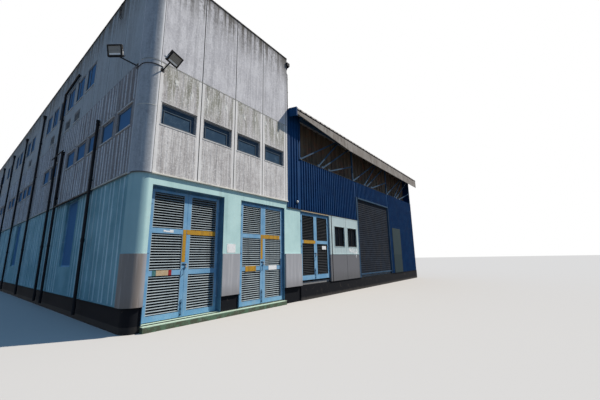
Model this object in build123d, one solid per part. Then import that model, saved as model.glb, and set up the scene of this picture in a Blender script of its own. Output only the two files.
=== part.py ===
from build123d import *
import math
import os

# Warehouse: a three-storey block of precast concrete panels with a rounded
# corner, and a lower steel-clad shed in line with it.
# Millimetres. X runs along the front to the right, Y into the building, Z up.
# Sizes are laid out from the outer corner of the block, then every piece is
# moved so that the origin is the middle of the block's footprint, on the ground.

# Levels above the lowest ground contact
SILL = 150.0
PLINTH_TOP = 550.0
DADO_TOP = 1710.0
DOOR_HEAD = 3350.0
GROUND_TOP = 3600.0
FIRST_TOP = 6620.0
PARAPET_TOP = 9630.0

# Office block: panel grid and wall thicknesses
FRONT_PANEL = 1215.0
FRONT_PANELS = 4
SIDE_PANEL = 1200.0
SIDE_PANELS = 24
CORNER_FRONT = 345.0
CORNER_SIDE = 470.0
CORNER_RADIUS = 330.0
EDGE_STRIP = 105.0
END_STRIP = 130.0
PANEL_THICK = 150.0
GROUND_WALL = 220.0
GROUND_INSET = 30.0
PLINTH_INSET = 50.0
JOINT_WIDE = 14.0
JOINT_DEEP = 18.0
DADO_THICK = 14.0
DADO_EDGE = 4.0
# The last pier's band of render is built up thicker
PIER_DADO_THICK = 62.0
KERB_OUT = 60.0
KERB_DROP = 20.0
FLOOR_THICK = 170.0
TOP_FLOOR_THICK = 100.0
ROOF_DROP = 300.0

# Windows: width, height and sill level of each row
FRONT_WINDOW = 990.0
SIDE_WINDOW = 920.0
WINDOW_TALL = 590.0
WINDOW_SILL = 4920.0
TOP_TALL = 920.0
TOP_SILL = 7600.0
SMALL_WIDE = 720.0
SMALL_TALL = 420.0
SMALL_SILL = 6730.0
BLUE_WIDE = 1200.0
BLUE_SILL = 1400.0
BLUE_HEAD = 3540.0
BLUE_FIRST = 4300.0
BLUE_PITCH = 9600.0
BLUE_COUNT = 3
FRAME_WIDE = 42.0
FRAME_DEEP = 50.0
# Depth of a window frame behind the wall's face, on the front and on the long sides
FRAME_BACK = 60.0
SIDE_FRAME_BACK = 12.0
GLASS = 8.0

# Panels of the side wall that hold a window, counted from the corner
FIRST_ROW = (0, 1, 2, 3, 4, 6, 7, 10, 11, 12, 14, 15, 17, 18, 19, 21, 22)
TOP_ROW = (3, 4, 5, 6, 7, 8, 11, 12, 14, 15, 17, 18, 20, 21, 23)
SMALL_ROW = (4, 5, 7, 11)

# Louvred doors and the piers beside them, from left to right
DOOR_1_LEFT = 420.0
DOOR_1_WIDE = 2080.0
PIER_WIDE = 630.0
DOOR_2_WIDE = 2020.0
SHED_PIER = 760.0
DOOR_3_WIDE = 2030.0
DOOR_3_SILL = 700.0
# Relative heights of each door's louvre banks, from the foot up
OFFICE_BANKS = (1.0, 1.0, 1.0)
SHED_BANKS = (5.0, 4.0)
POST_WIDE = 60.0
POST_DEEP = 50.0
# Depth of the second and third door frame behind the outer face
DOOR_2_BACK = 100.0
DOOR_3_BACK = 60.0
# Thin steel lining of the block's doorways
LINING = 6.0
LINING_EDGE = 12.0
LEAF_THICK = 45.0
LEAF_GAP = 6.0
SILL_GAP = 18.0
STILE = 75.0
MEETING_STILE = 100.0
RAIL = 125.0
TOP_RAIL = 64.0
FOOT_RAIL = 130.0
SHED_FOOT_RAIL = 170.0
CASSETTE_SIDE = 8.0
BLADE_PITCH = 63.0
BLADE_DEEP = 42.0
BLADE_THICK = 5.0
BLADE_TILT = 38.0
HINGE_RADIUS = 10.0
HINGE_LONG = 90.0
HINGE_PLAY = 2.0
HINGE_STRAP = 6.0
HINGE_REACH = 60.0
PLATE_REACH = 48.0
# Heights of a leaf's three hinges, as shares of its own height
HINGE_SHARES = (0.12, 0.5, 0.88)

# Shed: three bays beside the block
SHED_BAY = 4830.0
SHED_BAYS = 3
SHED_DEEP = 14400.0
SHED_FLOOR = 650.0
SHED_SLAB = 150.0
SHED_WALL = 220.0
PANEL_WALL = 120.0
SHEET_FOOT = 3400.0
SHEET_TOP = 5480.0
EAVE_TOP = 7340.0
EAVE_OUT = 400.0
ROOF_SLOPE = 10.0
VERGE = 300.0
RIB_DEEP = 35.0
# A rib's foot and crest from the middle of its pitch outwards, as shares of the pitch
RIB_FOOT = 0.25
RIB_CREST = 0.15
RIB_PITCH = 163.0
ROOF_PITCH = 345.0
BROWN_PITCH = 420.0
SHEET = 8.0
SET_BACK = 500.0
WINDOW_PANEL_WIDE = 2660.0
PANEL_WINDOW_WIDE = 880.0
PANEL_WINDOW_LEFT = 400.0
PANEL_WINDOW_GAP = 300.0
PANEL_SILL = 2030.0
PANEL_HEAD = 2930.0
PANEL_FRAME_OUT = 20.0
SHUTTER_GAP = 140.0
SHUTTER_WIDE = 4100.0
SHUTTER_HEAD = 4650.0
SHUTTER_BACK = 60.0
SLAT = 110.0
SLAT_DEEP = 16.0
SLAT_THICK = 10.0
# Flat middle of a slat, as shares of its height
SLAT_FLAT = (0.25, 0.75)
SIDE_PANEL_GAP = 420.0
SIDE_PANEL_WIDE = 1400.0
COLUMN = 120.0
COLUMN_GAP = 20.0
COLUMN_INSET = 200.0
RAFTER = 200.0
BRACE = 70.0
BRACE_WIDE = 56.0
BEAM = 160.0
BOARD_THICK = 20.0
BOARD_DROP = 110.0
BOARD_TALL = 470.0
BOARD_THIN = 130.0
BOARD_TAPER = 4260.0
SHUTTER_POST = 80.0
END_GAP = 60.0
SHED_BASE_SET = 40.0
SHEET_SET = 50.0
LEDGE_DROP = 20.0
SHEET_LAP = 100.0
ROOF_START = 100.0
RIDGE_GAP = 20.0

# Downpipes on the long side wall
PIPE_RADIUS = 42.0
PIPE_SIDES = 12
PIPE_OUT = 62.0
# How far the second stretch of a bent pipe starts inside the first, as a share of its radius
ELBOW_SHARE = 0.9
PIPE_FOOT = 160.0
PIPE_TOP = 8720.0
PIPE_PLACES = (11700.0, 16100.0, 20500.0, 24900.0)
# Short pipes as (along, top), and the pipe that turns and runs back along the wall
SHORT_PIPES = ((3000.0, 5770.0), (6850.0, 5700.0))
BENT_PIPE = ((7850.0, 8570.0), (6050.0, 8720.0))
CLIP_FIRST = 3900.0
CLIP_PITCH = 1750.0
CLIP = 40.0

# Flood lamps at the rounded corner: wall foot, arm end, facing and tilt
LAMP_WIDE = 370.0
LAMP_TALL = 290.0
LAMP_DEEP = 60.0
LAMP_RIM = 20.0
ARM_RADIUS = 17.0
ARM_KNOB = 22.0
ARM_PLATE = 90.0
PLATE_THICK = 16.0
LAMP_LIFT = 87.0
CONDUIT_RADIUS = 9.0
CONDUIT_LEVEL = 6480.0
LEFT_LAMP = ((0.0, 590.0, 6570.0), (-480.0, 590.0, 6590.0), -52.0, 15.0)
RIGHT_LAMP = ((400.0, 0.0, 6380.0), (400.0, -430.0, 6440.0), 20.0, 45.0)

# Clearance between pieces that meet, and between solids of one piece
CLEAR = 0.3
# How far a cut reaches past what it cuts
REACH = 500.0

# Sizes worked out from the ones above
OFFICE_WIDE = CORNER_FRONT + FRONT_PANEL * FRONT_PANELS + EDGE_STRIP
OFFICE_LONG = CORNER_SIDE + SIDE_PANEL * SIDE_PANELS + END_STRIP
SHED_END = OFFICE_WIDE + SHED_BAY * SHED_BAYS
BASE_INSET = GROUND_INSET + PLINTH_INSET
# The first door's frame ends flush with the inner face of its wall
DOOR_1_BACK = GROUND_INSET + GROUND_WALL - POST_DEEP
SLOPE = math.tan(math.radians(ROOF_SLOPE))
ROOF_UNDER = EAVE_TOP - RIB_DEEP - SHEET
RIDGE = SHED_DEEP / 2
DOOR_1 = (DOOR_1_LEFT, DOOR_1_LEFT + DOOR_1_WIDE, SILL)
DOOR_2 = (DOOR_1[1] + PIER_WIDE, DOOR_1[1] + PIER_WIDE + DOOR_2_WIDE, SILL)
DOOR_3 = (OFFICE_WIDE + SHED_PIER, OFFICE_WIDE + SHED_PIER + DOOR_3_WIDE, DOOR_3_SILL)
WINDOW_PANEL = (DOOR_3[1], DOOR_3[1] + WINDOW_PANEL_WIDE)
PANEL_WINDOW_1 = (WINDOW_PANEL[0] + PANEL_WINDOW_LEFT,
                  WINDOW_PANEL[0] + PANEL_WINDOW_LEFT + PANEL_WINDOW_WIDE)
PANEL_WINDOW_2 = (PANEL_WINDOW_1[1] + PANEL_WINDOW_GAP,
                  PANEL_WINDOW_1[1] + PANEL_WINDOW_GAP + PANEL_WINDOW_WIDE)
SHUTTER = (WINDOW_PANEL[1] + SHUTTER_GAP, WINDOW_PANEL[1] + SHUTTER_GAP + SHUTTER_WIDE)
SHEET_START = SHUTTER[1] + SHUTTER_POST + CLEAR
SIDE_PANEL_SPAN = (SHEET_START + SIDE_PANEL_GAP, SHEET_START + SIDE_PANEL_GAP + SIDE_PANEL_WIDE)
BRACKET_END = -EAVE_OUT + BOARD_THICK + CLEAR
COLUMN_STEP = (SHED_END - OFFICE_WIDE - 2 * COLUMN_INSET) / SHED_BAYS
COLUMN_PLACES = [OFFICE_WIDE + COLUMN_INSET + COLUMN_STEP * n for n in range(SHED_BAYS + 1)]
# Braces of one bay from foot to head, as shares of the bay and of the clear height
BRACE_LINES = (((0.01, 0.0), (0.69, 1.0)), ((0.3, 0.0), (0.72, 1.0)),
               ((0.37, 0.0), (0.97, 1.0)), ((0.49, 0.0), (1.0, 0.45)))
PARTS = {}


def block(x, y, z):
    """A plain block between pairs of coordinates."""
    spans = (x, y, z)
    size = [high - low for low, high in spans]
    middle = [(high + low) / 2 for low, high in spans]
    return Pos(*middle) * Box(*size)


def wall_block(wall, along, depth, up):
    """A block laid out along a wall: the front runs in X, a side in Y."""
    if wall == "front":
        return block(along, depth, up)
    return block(depth, along, up)


def shrink(span, gap=CLEAR):
    """A span that stays a gap inside its ends."""
    return (span[0] + gap, span[1] - gap)


def tube(start, end, radius, sides=8):
    """A nearly round bar of even sides from one point to another."""
    line = Vector(*end) - Vector(*start)
    section = Plane(origin=start, z_dir=line) * RegularPolygon(radius, sides)
    return extrude(section, amount=line.length)


def bar(start, end, wide):
    """A square bar from one point to another."""
    line = Vector(*end) - Vector(*start)
    return Plane(origin=start, z_dir=line) * Box(
        wide, wide, line.length, align=(Align.CENTER, Align.CENTER, Align.MIN))


def keep(name, solids):
    """Store a piece under its name."""
    PARTS[name] = solids if isinstance(solids, list) else [solids]


def under_roof(y):
    """Height of the shed roof's underside at a depth into the shed."""
    run = min(y, SHED_DEEP - y) + EAVE_OUT
    return ROOF_UNDER + run * SLOPE


def windowed_wall(wall, along, depth, up, windows, joints, outer):
    """A wall slab with window holes and grooves between its panels."""
    low, high = depth
    groove = (low, low + JOINT_DEEP) if outer == "low" else (high - JOINT_DEEP, high)
    cuts = [wall_block(wall, span, (low - 1, high + 1), heights)
            for span, heights in windows]
    cuts += [wall_block(wall, (at - JOINT_WIDE / 2, at + JOINT_WIDE / 2), groove, up)
             for at in joints]
    slab = wall_block(wall, along, depth, up)
    return slab - cuts if cuts else slab


def window_set(wall, windows, outer, inward, back=FRAME_BACK):
    """Frame rings and panes that fill a wall's window holes."""
    frames = []
    panes = []
    depth = sorted((outer + inward * back, outer + inward * (back + FRAME_DEEP)))
    middle = sum(depth) / 2
    for span, heights in windows:
        span = shrink(span)
        heights = shrink(heights)
        ring = wall_block(wall, span, depth, heights)
        hole = (shrink(span, FRAME_WIDE), shrink(heights, FRAME_WIDE))
        ring -= wall_block(wall, hole[0], (depth[0] - 1, depth[1] + 1), hole[1])
        frames.append(ring)
        panes.append(wall_block(wall, shrink(hole[0]), (middle - GLASS / 2, middle + GLASS / 2),
                                shrink(hole[1])))
    return frames, panes


def side_windows(panels, wide, sill, tall):
    """Window holes centred on the numbered panels of a long wall."""
    spans = []
    for number in panels:
        centre = CORNER_SIDE + SIDE_PANEL * (number + 0.5)
        spans.append(((centre - wide / 2, centre + wide / 2), (sill, sill + tall)))
    return spans


def front_windows():
    """One window hole in each panel of the front wall's middle storey."""
    spans = []
    for number in range(FRONT_PANELS):
        centre = CORNER_FRONT + FRONT_PANEL * (number + 0.5)
        spans.append(((centre - FRONT_WINDOW / 2, centre + FRONT_WINDOW / 2),
                      (WINDOW_SILL, WINDOW_SILL + WINDOW_TALL)))
    return spans


def blue_windows():
    """Tall blue ground-floor windows in the long side wall."""
    starts = [BLUE_FIRST + BLUE_PITCH * number for number in range(BLUE_COUNT)]
    return [((start, start + BLUE_WIDE), (BLUE_SILL, BLUE_HEAD)) for start in starts]


FRONT_JOINTS = [CORNER_FRONT + FRONT_PANEL * n for n in range(1, FRONT_PANELS)]
SIDE_JOINTS = [CORNER_SIDE + SIDE_PANEL * n for n in range(1, SIDE_PANELS)]
FIRST_WINDOWS = side_windows(FIRST_ROW, SIDE_WINDOW, WINDOW_SILL, WINDOW_TALL)
TOP_WINDOWS = side_windows(TOP_ROW, SIDE_WINDOW, TOP_SILL, TOP_TALL)
SMALL_WINDOWS = side_windows(SMALL_ROW, SMALL_WIDE, SMALL_SILL, SMALL_TALL)
EAST_FIRST = [item for item in FIRST_WINDOWS if item[0][0] > SHED_DEEP + VERGE]
EAST_TOP = [item for item in TOP_WINDOWS if item[0][0] > SHED_DEEP + VERGE]


def corner_piece(inset, thick, reach_x, reach_y, up):
    """A wall that turns the rounded corner, with a short return each way."""
    outer = Plane.XY.offset(up[0]) * make_face(corner_line(inset, reach_x, reach_y))
    inner = Plane.XY.offset(up[0]) * make_face(corner_line(inset + thick, reach_x, reach_y))
    high = up[1] - up[0]
    return extrude(outer, amount=high) - extrude(inner, amount=high)


def corner_line(inset, reach_x, reach_y):
    """The rounded corner's outline, closed at the far ends of its returns."""
    radius = CORNER_RADIUS - inset
    centre = (CORNER_RADIUS, CORNER_RADIUS)
    bend = CenterArc(centre, radius, 180, 90)
    return [bend,
            Line((CORNER_RADIUS, inset), (reach_x, inset)),
            Line((reach_x, inset), (reach_x, reach_y)),
            Line((reach_x, reach_y), (inset, reach_y)),
            Line((inset, reach_y), (inset, CORNER_RADIUS))]


def rounded_plate(inset, x_end, y_end, up):
    """A floor plate whose outer corner follows the rounded wall."""
    face = make_face(corner_line(inset, x_end, y_end))
    return extrude(Plane.XY.offset(up[0]) * face, amount=up[1] - up[0])


def build_ground_storey():
    """Slab, corner, piers and walls of the office block's ground floor."""
    up = (SILL + CLEAR, GROUND_TOP - CLEAR)
    inner = GROUND_INSET + GROUND_WALL
    recess_up = (SILL - 1, PLINTH_TOP)
    keep("ground_slab", rounded_plate(BASE_INSET, OFFICE_WIDE, OFFICE_LONG - BASE_INSET, (0.0, SILL)))
    corner = corner_piece(GROUND_INSET, GROUND_WALL, DOOR_1[0], CORNER_SIDE, up)
    skirt = corner_piece(GROUND_INSET - 1, PLINTH_INSET + 1, DOOR_1[0] + 1, CORNER_SIDE + 1, recess_up)
    keep("corner_ground", corner - skirt)
    front = (GROUND_INSET, inner)
    recess = (GROUND_INSET - 1, BASE_INSET)
    piers = [(DOOR_1[1], DOOR_2[0]), (DOOR_2[1], OFFICE_WIDE)]
    solids = [block(span, front, (up[0], DOOR_HEAD)) - block(span, recess, recess_up)
              for span in piers]
    solids.append(block((DOOR_1[0] + CLEAR, OFFICE_WIDE), front, (DOOR_HEAD + CLEAR, up[1])))
    keep("front_ground_wall", solids)
    side = wall_block("side", (CORNER_SIDE + CLEAR, OFFICE_LONG - GROUND_INSET), front, up)
    holes = [wall_block("side", span, (0.0, inner + 1), heights) for span, heights in blue_windows()]
    holes.append(wall_block("side", (CORNER_SIDE, OFFICE_LONG), recess, recess_up))
    keep("side_ground_wall", side - holes)
    far = OFFICE_LONG - GROUND_INSET
    rear = block((inner + CLEAR, OFFICE_WIDE), (far - GROUND_WALL, far), up)
    rear -= block((0.0, OFFICE_WIDE + 1), (far - PLINTH_INSET, far + 1), recess_up)
    keep("rear_ground_wall", rear)
    east = block((OFFICE_WIDE - GROUND_WALL, OFFICE_WIDE),
                 (inner + CLEAR, far - GROUND_WALL - CLEAR), up)
    keep("east_ground_wall", east)


def build_upper_storeys():
    """Precast panel walls, floors and roof above the ground storey."""
    storeys = ((GROUND_TOP, FIRST_TOP - CLEAR), (FIRST_TOP, PARAPET_TOP))
    thick = (0.0, PANEL_THICK)
    rear_depth = (OFFICE_LONG - PANEL_THICK, OFFICE_LONG)
    east_depth = (OFFICE_WIDE - PANEL_THICK, OFFICE_WIDE)
    front_span = (CORNER_FRONT + CLEAR, OFFICE_WIDE)
    side_span = (CORNER_SIDE + CLEAR, OFFICE_LONG)
    east_span = (PANEL_THICK + CLEAR, OFFICE_LONG - PANEL_THICK - CLEAR)
    rear_span = (PANEL_THICK + CLEAR, OFFICE_WIDE)
    first, top = storeys
    keep("corner_upper", [corner_piece(0.0, PANEL_THICK, CORNER_FRONT, CORNER_SIDE, up)
                          for up in storeys])
    keep("front_panels_first", windowed_wall("front", front_span, thick, first,
                                             front_windows(), FRONT_JOINTS, "low"))
    keep("front_panels_top", windowed_wall("front", front_span, thick, top, [], FRONT_JOINTS, "low"))
    keep("side_panels_first", windowed_wall("side", side_span, thick, first,
                                            FIRST_WINDOWS, SIDE_JOINTS, "low"))
    keep("side_panels_top", windowed_wall("side", side_span, thick, top,
                                          TOP_WINDOWS + SMALL_WINDOWS, SIDE_JOINTS, "low"))
    keep("rear_panels", [
        windowed_wall("front", rear_span, rear_depth, first, front_windows(), FRONT_JOINTS, "high"),
        windowed_wall("front", rear_span, rear_depth, top, [], FRONT_JOINTS, "high")])
    keep("east_panels", [
        windowed_wall("side", east_span, east_depth, first, EAST_FIRST, SIDE_JOINTS, "high"),
        windowed_wall("side", east_span, east_depth, top, EAST_TOP, SIDE_JOINTS, "high")])
    edge = PANEL_THICK + CLEAR
    far = (OFFICE_WIDE - edge, OFFICE_LONG - edge)
    keep("upper_floors", [
        rounded_plate(edge, *far, (GROUND_TOP, GROUND_TOP + FLOOR_THICK)),
        rounded_plate(edge, *far, (FIRST_TOP, FIRST_TOP + TOP_FLOOR_THICK))])
    roof_top = PARAPET_TOP - ROOF_DROP
    keep("office_roof", rounded_plate(edge, *far, (roof_top - FLOOR_THICK, roof_top)))


def build_windows():
    """Frames and panes of the office block."""
    frames, panes = [], []
    rows = (
        ("front", front_windows(), 0.0, 1, FRAME_BACK),
        ("side", FIRST_WINDOWS + TOP_WINDOWS + SMALL_WINDOWS, 0.0, 1, SIDE_FRAME_BACK),
        ("front", front_windows(), OFFICE_LONG, -1, FRAME_BACK),
        ("side", EAST_FIRST + EAST_TOP, OFFICE_WIDE, -1, SIDE_FRAME_BACK))
    for wall, windows, outer, inward, back in rows:
        rings, glass = window_set(wall, windows, outer, inward, back)
        frames += rings
        panes += glass
    keep("window_frames", frames)
    blue, glass = window_set("side", blue_windows(), GROUND_INSET, 1)
    keep("blue_window_frames", blue)
    keep("window_glass", panes + glass)


def build_dado():
    """The smooth grey band of render over the corner and the piers."""
    up = (PLINTH_TOP, DADO_TOP)
    low = GROUND_INSET - CLEAR
    spans = ((DOOR_1[1], DOOR_2[0], DADO_THICK), (DOOR_2[1], DOOR_3[0], PIER_DADO_THICK))
    solids = [block(shrink((left, right), DADO_EDGE), (low - thick, low), up)
              for left, right, thick in spans]
    solids.append(corner_piece(low - DADO_THICK, DADO_THICK, DOOR_1[0] - DADO_EDGE, CORNER_SIDE, up))
    keep("grey_dado", solids)
    reach = (DOOR_1[0], DOOR_2[1])
    keep("door_kerb", block(reach, (-KERB_OUT, BASE_INSET - CLEAR), (0.0, SILL - KERB_DROP)))


def leaf_rails(height, foot_rail, banks):
    """Spans of a leaf's rails from its foot up, one more than its banks."""
    clear = height - foot_rail - TOP_RAIL - RAIL * (len(banks) - 1)
    rails = [(0.0, foot_rail)]
    for share in banks[:-1]:
        low = rails[-1][1] + clear * share / sum(banks)
        rails.append((low, low + RAIL))
    rails.append((height - TOP_RAIL, height))
    return rails


def leaf_stiles(hinge_side):
    """Widths of a leaf's left and right stile."""
    return (STILE, MEETING_STILE) if hinge_side == "left" else (MEETING_STILE, STILE)


def leaf_frame(width, rails, hinge_side):
    """Stiles and rails of one door leaf, its foot at the origin."""
    left, right = leaf_stiles(hinge_side)
    thick = (0.0, LEAF_THICK)
    height = rails[-1][1]
    parts = [block((0.0, left), thick, (0.0, height)),
             block((width - right, width), thick, (0.0, height))]
    parts += [block((left, width - right), thick, rail) for rail in rails]
    return parts[0].fuse(*parts[1:])


def louvre_bank(span, up):
    """Tilted blades between two thin side strips."""
    thick = (CLEAR, LEAF_THICK - CLEAR)
    parts = [block((span[0], span[0] + CASSETTE_SIDE), thick, up),
             block((span[1] - CASSETTE_SIDE, span[1]), thick, up)]
    high = up[1] - up[0]
    count = round(high / BLADE_PITCH)
    inner = shrink(span, CASSETTE_SIDE / 2)
    for number in range(count):
        level = up[0] + high * (number + 0.5) / count
        slat = Box(inner[1] - inner[0], BLADE_DEEP, BLADE_THICK)
        parts.append(Pos(sum(inner) / 2, LEAF_THICK / 2, level) * Rot(BLADE_TILT, 0, 0) * slat)
    return parts[0].fuse(*parts[1:])


def leaf_blades(width, rails, hinge_side):
    """The louvre banks that fill a leaf between its rails."""
    left, right = leaf_stiles(hinge_side)
    span = shrink((left, width - right))
    return [louvre_bank(span, shrink((low[1], high[0]))) for low, high in zip(rails, rails[1:])]


def hinge_levels(height):
    """Heights of a leaf's three hinges above its foot."""
    return [height * share for share in HINGE_SHARES]


def leaf_hinges(height, side):
    """The moving knuckles and straps of a leaf, its hinge axis at the origin."""
    sign = 1 if side == "left" else -1
    pieces = []
    for level in hinge_levels(height):
        up = (level + CLEAR, level + HINGE_LONG / 2)
        knuckle = tube((0, 0, up[0]), (0, 0, up[1]), HINGE_RADIUS)
        reach = sorted((0.0, sign * HINGE_REACH))
        strap = block(reach, (HINGE_RADIUS - HINGE_STRAP, HINGE_RADIUS + HINGE_PLAY), up)
        pieces.append(knuckle + strap)
    return pieces


def frame_hinges(height, side):
    """The fixed hinge knuckles of a frame post, around the origin."""
    sign = -1 if side == "left" else 1
    pieces = []
    for level in hinge_levels(height):
        up = (level - HINGE_LONG / 2, level)
        reach = sorted((0.0, sign * PLATE_REACH))
        plate = block(reach, (HINGE_RADIUS - HINGE_STRAP, HINGE_RADIUS + HINGE_PLAY), up)
        pieces.append(tube((0, 0, up[0]), (0, 0, up[1]), HINGE_RADIUS) + plate)
    return pieces


def build_door(name, opening, back, foot_rail, banks):
    """A pair of louvred leaves and the frame that they hang in."""
    low, high, foot = opening
    depth = (back, back + POST_DEEP)
    lining = (GROUND_INSET + LINING_EDGE, back + 1)
    inner_head = DOOR_HEAD - POST_WIDE
    leaf_foot = foot + SILL_GAP
    rails = leaf_rails(inner_head - LEAF_GAP - leaf_foot, foot_rail, banks)
    height = rails[-1][1]
    clear_low = low + POST_WIDE
    clear_high = high - POST_WIDE
    width = (clear_high - clear_low) / 2 - LEAF_GAP * 1.5
    axes = {"left": clear_low + LEAF_GAP / 2, "right": clear_high - LEAF_GAP / 2}
    solids = []
    for side, axis in axes.items():
        axis_y = back - HINGE_RADIUS - HINGE_PLAY
        at = Pos(axis, axis_y, leaf_foot)
        start = LEAF_GAP / 2 if side == "left" else -LEAF_GAP / 2 - width
        inside = Pos(start, HINGE_RADIUS + HINGE_PLAY, 0)
        leaf = inside * leaf_frame(width, rails, side)
        leaf = leaf.fuse(*leaf_hinges(height, side))
        keep(f"{name}_{side}_leaf", at * leaf)
        keep(f"{name}_{side}_blades", [at * inside * bank for bank in leaf_blades(width, rails, side)])
        edge = (low + CLEAR, clear_low) if side == "left" else (clear_high, high - CLEAR)
        face = (low + CLEAR, low + LINING) if side == "left" else (high - LINING, high - CLEAR)
        up = (foot + CLEAR, DOOR_HEAD - CLEAR)
        post = block(edge, depth, up)
        if lining[1] - lining[0] > LINING_EDGE:
            post += block(face, lining, up)
        solids.append(post.fuse(*[at * piece for piece in frame_hinges(height, side)]))
        print(f"{name} {side} hinge axis x {axis - ORIGIN[0]:.2f} y {axis_y - ORIGIN[1]:.2f}")
    head = block(shrink((clear_low, clear_high)), depth, (inner_head, DOOR_HEAD - CLEAR))
    if lining[1] - lining[0] > LINING_EDGE:
        head += block(shrink((clear_low, clear_high)), lining, (DOOR_HEAD - LINING, DOOR_HEAD - CLEAR))
    solids.append(head)
    return solids


def build_doors():
    """The three pairs of louvred doors."""
    doors = ((DOOR_1, DOOR_1_BACK, FOOT_RAIL, OFFICE_BANKS),
             (DOOR_2, DOOR_2_BACK, FOOT_RAIL, OFFICE_BANKS),
             (DOOR_3, DOOR_3_BACK, SHED_FOOT_RAIL, SHED_BANKS))
    solids = []
    for number, (opening, back, foot_rail, banks) in enumerate(doors, 1):
        solids += build_door(f"door_{number}", opening, back, foot_rail, banks)
    keep("door_frames", solids)


def rib_outline(length, pitch, depth):
    """The zigzag line of a box-ribbed sheet, as (along, out) points."""
    count = int(length // pitch)
    margin = (length - count * pitch) / 2
    points = [(0.0, 0.0)]
    for number in range(count):
        middle = margin + (number + 0.5) * pitch
        foot = RIB_FOOT * pitch
        crest = RIB_CREST * pitch
        points += [(middle - foot, 0.0), (middle - crest, depth),
                   (middle + crest, depth), (middle + foot, 0.0)]
    points.append((length, 0.0))
    return points


def ribbed_face(length, pitch, depth, place, flat_back=False):
    """A closed sheet section; place turns (along, out) into plan points."""
    outline = rib_outline(length, pitch, depth)
    back = [(0.0, 0.0), (length, 0.0)] if flat_back else outline
    ring = [place(along, out) for along, out in outline]
    ring += [place(along, out - SHEET) for along, out in reversed(back)]
    return make_face(Polyline(*ring, close=True))


def front_sheet(span, up, face_y, pitch):
    """A ribbed sheet that faces the front, ribs upright."""
    section = ribbed_face(span[1] - span[0], pitch, RIB_DEEP,
                          lambda along, out: (span[0] + along, face_y - out))
    return extrude(Plane.XY.offset(up[0]) * section, amount=up[1] - up[0])


def build_shed_base():
    """Floor, base walls and the panels at the foot of the shed's front."""
    wall = (SHED_BASE_SET, SHED_BASE_SET + SHED_WALL)
    far = SHED_DEEP
    foot = PLINTH_TOP
    solids = [
        block((DOOR_3[0] + CLEAR, SHED_END), wall, (0.0, foot)),
        block((SHED_END - SHED_WALL, SHED_END), shrink((wall[1], far - SHED_WALL)), (0.0, foot)),
        block((OFFICE_WIDE + CLEAR, SHED_END), (far - SHED_WALL, far), (0.0, foot))]
    keep("shed_base_walls", solids)
    across = (OFFICE_WIDE + CLEAR, SHED_END - SHED_WALL - CLEAR)
    deep = (wall[1] + CLEAR, far - SHED_WALL - CLEAR)
    slab = block(across, deep, (SHED_FLOOR - SHED_SLAB, SHED_FLOOR))
    lip = block((DOOR_3[0] + CLEAR, across[1]), (PANEL_WALL + CLEAR, wall[1] + 1),
                (foot + CLEAR, SHED_FLOOR))
    keep("shed_floor", slab + lip)


def build_shed_front():
    """Rendered pier, pale window panel and plain panel of the shed front."""
    pier = block((OFFICE_WIDE + CLEAR, DOOR_3[0]), (GROUND_INSET, GROUND_INSET + SHED_WALL),
                 (0.0, SHEET_FOOT - CLEAR))
    pier -= block((OFFICE_WIDE, DOOR_3[0] + 1), (0.0, BASE_INSET), (-1.0, PLINTH_TOP))
    keep("shed_front_pier", pier)
    depth = (0.0, PANEL_WALL)
    up = (PLINTH_TOP + CLEAR, SHEET_FOOT - CLEAR)
    holes = [(span, (PANEL_SILL, PANEL_HEAD)) for span in (PANEL_WINDOW_1, PANEL_WINDOW_2)]
    joint = (PANEL_WINDOW_1[1] + PANEL_WINDOW_2[0]) / 2
    pale = windowed_wall("front", WINDOW_PANEL, depth, up, holes, [joint], "low")
    lintel = block((DOOR_3[0], WINDOW_PANEL[0] - CLEAR), depth, (DOOR_HEAD + CLEAR, up[1]))
    plain = block(SIDE_PANEL_SPAN, depth, (up[0], DOOR_HEAD))
    keep("shed_front_panels", [pale, lintel, plain])
    frames, panes = window_set("front", holes, -PANEL_FRAME_OUT, 1)
    keep("shed_window_frames", frames)
    keep("shed_window_glass", panes)


def build_shed_sheets():
    """Blue ribbed sheeting, and the bare brown sheets set back above it."""
    face = RIB_DEEP
    strip_end = DOOR_3[0]
    foot = SHEET_FOOT
    roof_line = under_roof(0.0) - CLEAR
    base = PLINTH_TOP + CLEAR
    post_end = SHUTTER[1] + SHUTTER_POST
    right_end = SHED_END - END_GAP
    right_sheet = front_sheet((SHEET_START, right_end), (base, SHEET_TOP), face, RIB_PITCH)
    right_sheet -= block(shrink(SIDE_PANEL_SPAN, -CLEAR), (-REACH, REACH), (0.0, DOOR_HEAD + CLEAR))
    solids = [
        front_sheet((OFFICE_WIDE + CLEAR, strip_end), (foot, roof_line), face, RIB_PITCH),
        front_sheet((strip_end + CLEAR, WINDOW_PANEL[1]), (foot, SHEET_TOP), face, RIB_PITCH),
        front_sheet((WINDOW_PANEL[1] + CLEAR, post_end), (SHUTTER_HEAD + CLEAR, SHEET_TOP),
                    face, RIB_PITCH),
        right_sheet]
    keep("blue_front_sheets", solids)
    behind = face + SHEET + CLEAR
    ledge = SHEET_TOP - LEDGE_DROP
    keep("blue_return", [
        block((strip_end - SHEET, strip_end), (behind, SET_BACK), (SHEET_TOP, roof_line)),
        block((strip_end + CLEAR, right_end), (behind + BRACE + CLEAR, SET_BACK), (ledge, ledge + SHEET))])
    brown_top = under_roof(SET_BACK) - CLEAR
    keep("brown_sheets", front_sheet((OFFICE_WIDE + CLEAR, right_end), (SHEET_TOP - SHEET_LAP, brown_top),
                                     SET_BACK + RIB_DEEP + CLEAR, BROWN_PITCH))


def roof_strip(near, far, drop, span):
    """A strip of even depth below the roof's underside, across an X span."""
    outline = []
    for y in (near, far):
        outline.append((y, under_roof(y) - CLEAR - drop))
    for y in (far, near):
        outline.append((y, under_roof(y) - CLEAR))
    face = Plane.YZ * make_face(Polyline(*outline, close=True))
    return Pos(span[0], 0, 0) * extrude(face, amount=span[1] - span[0])


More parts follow.
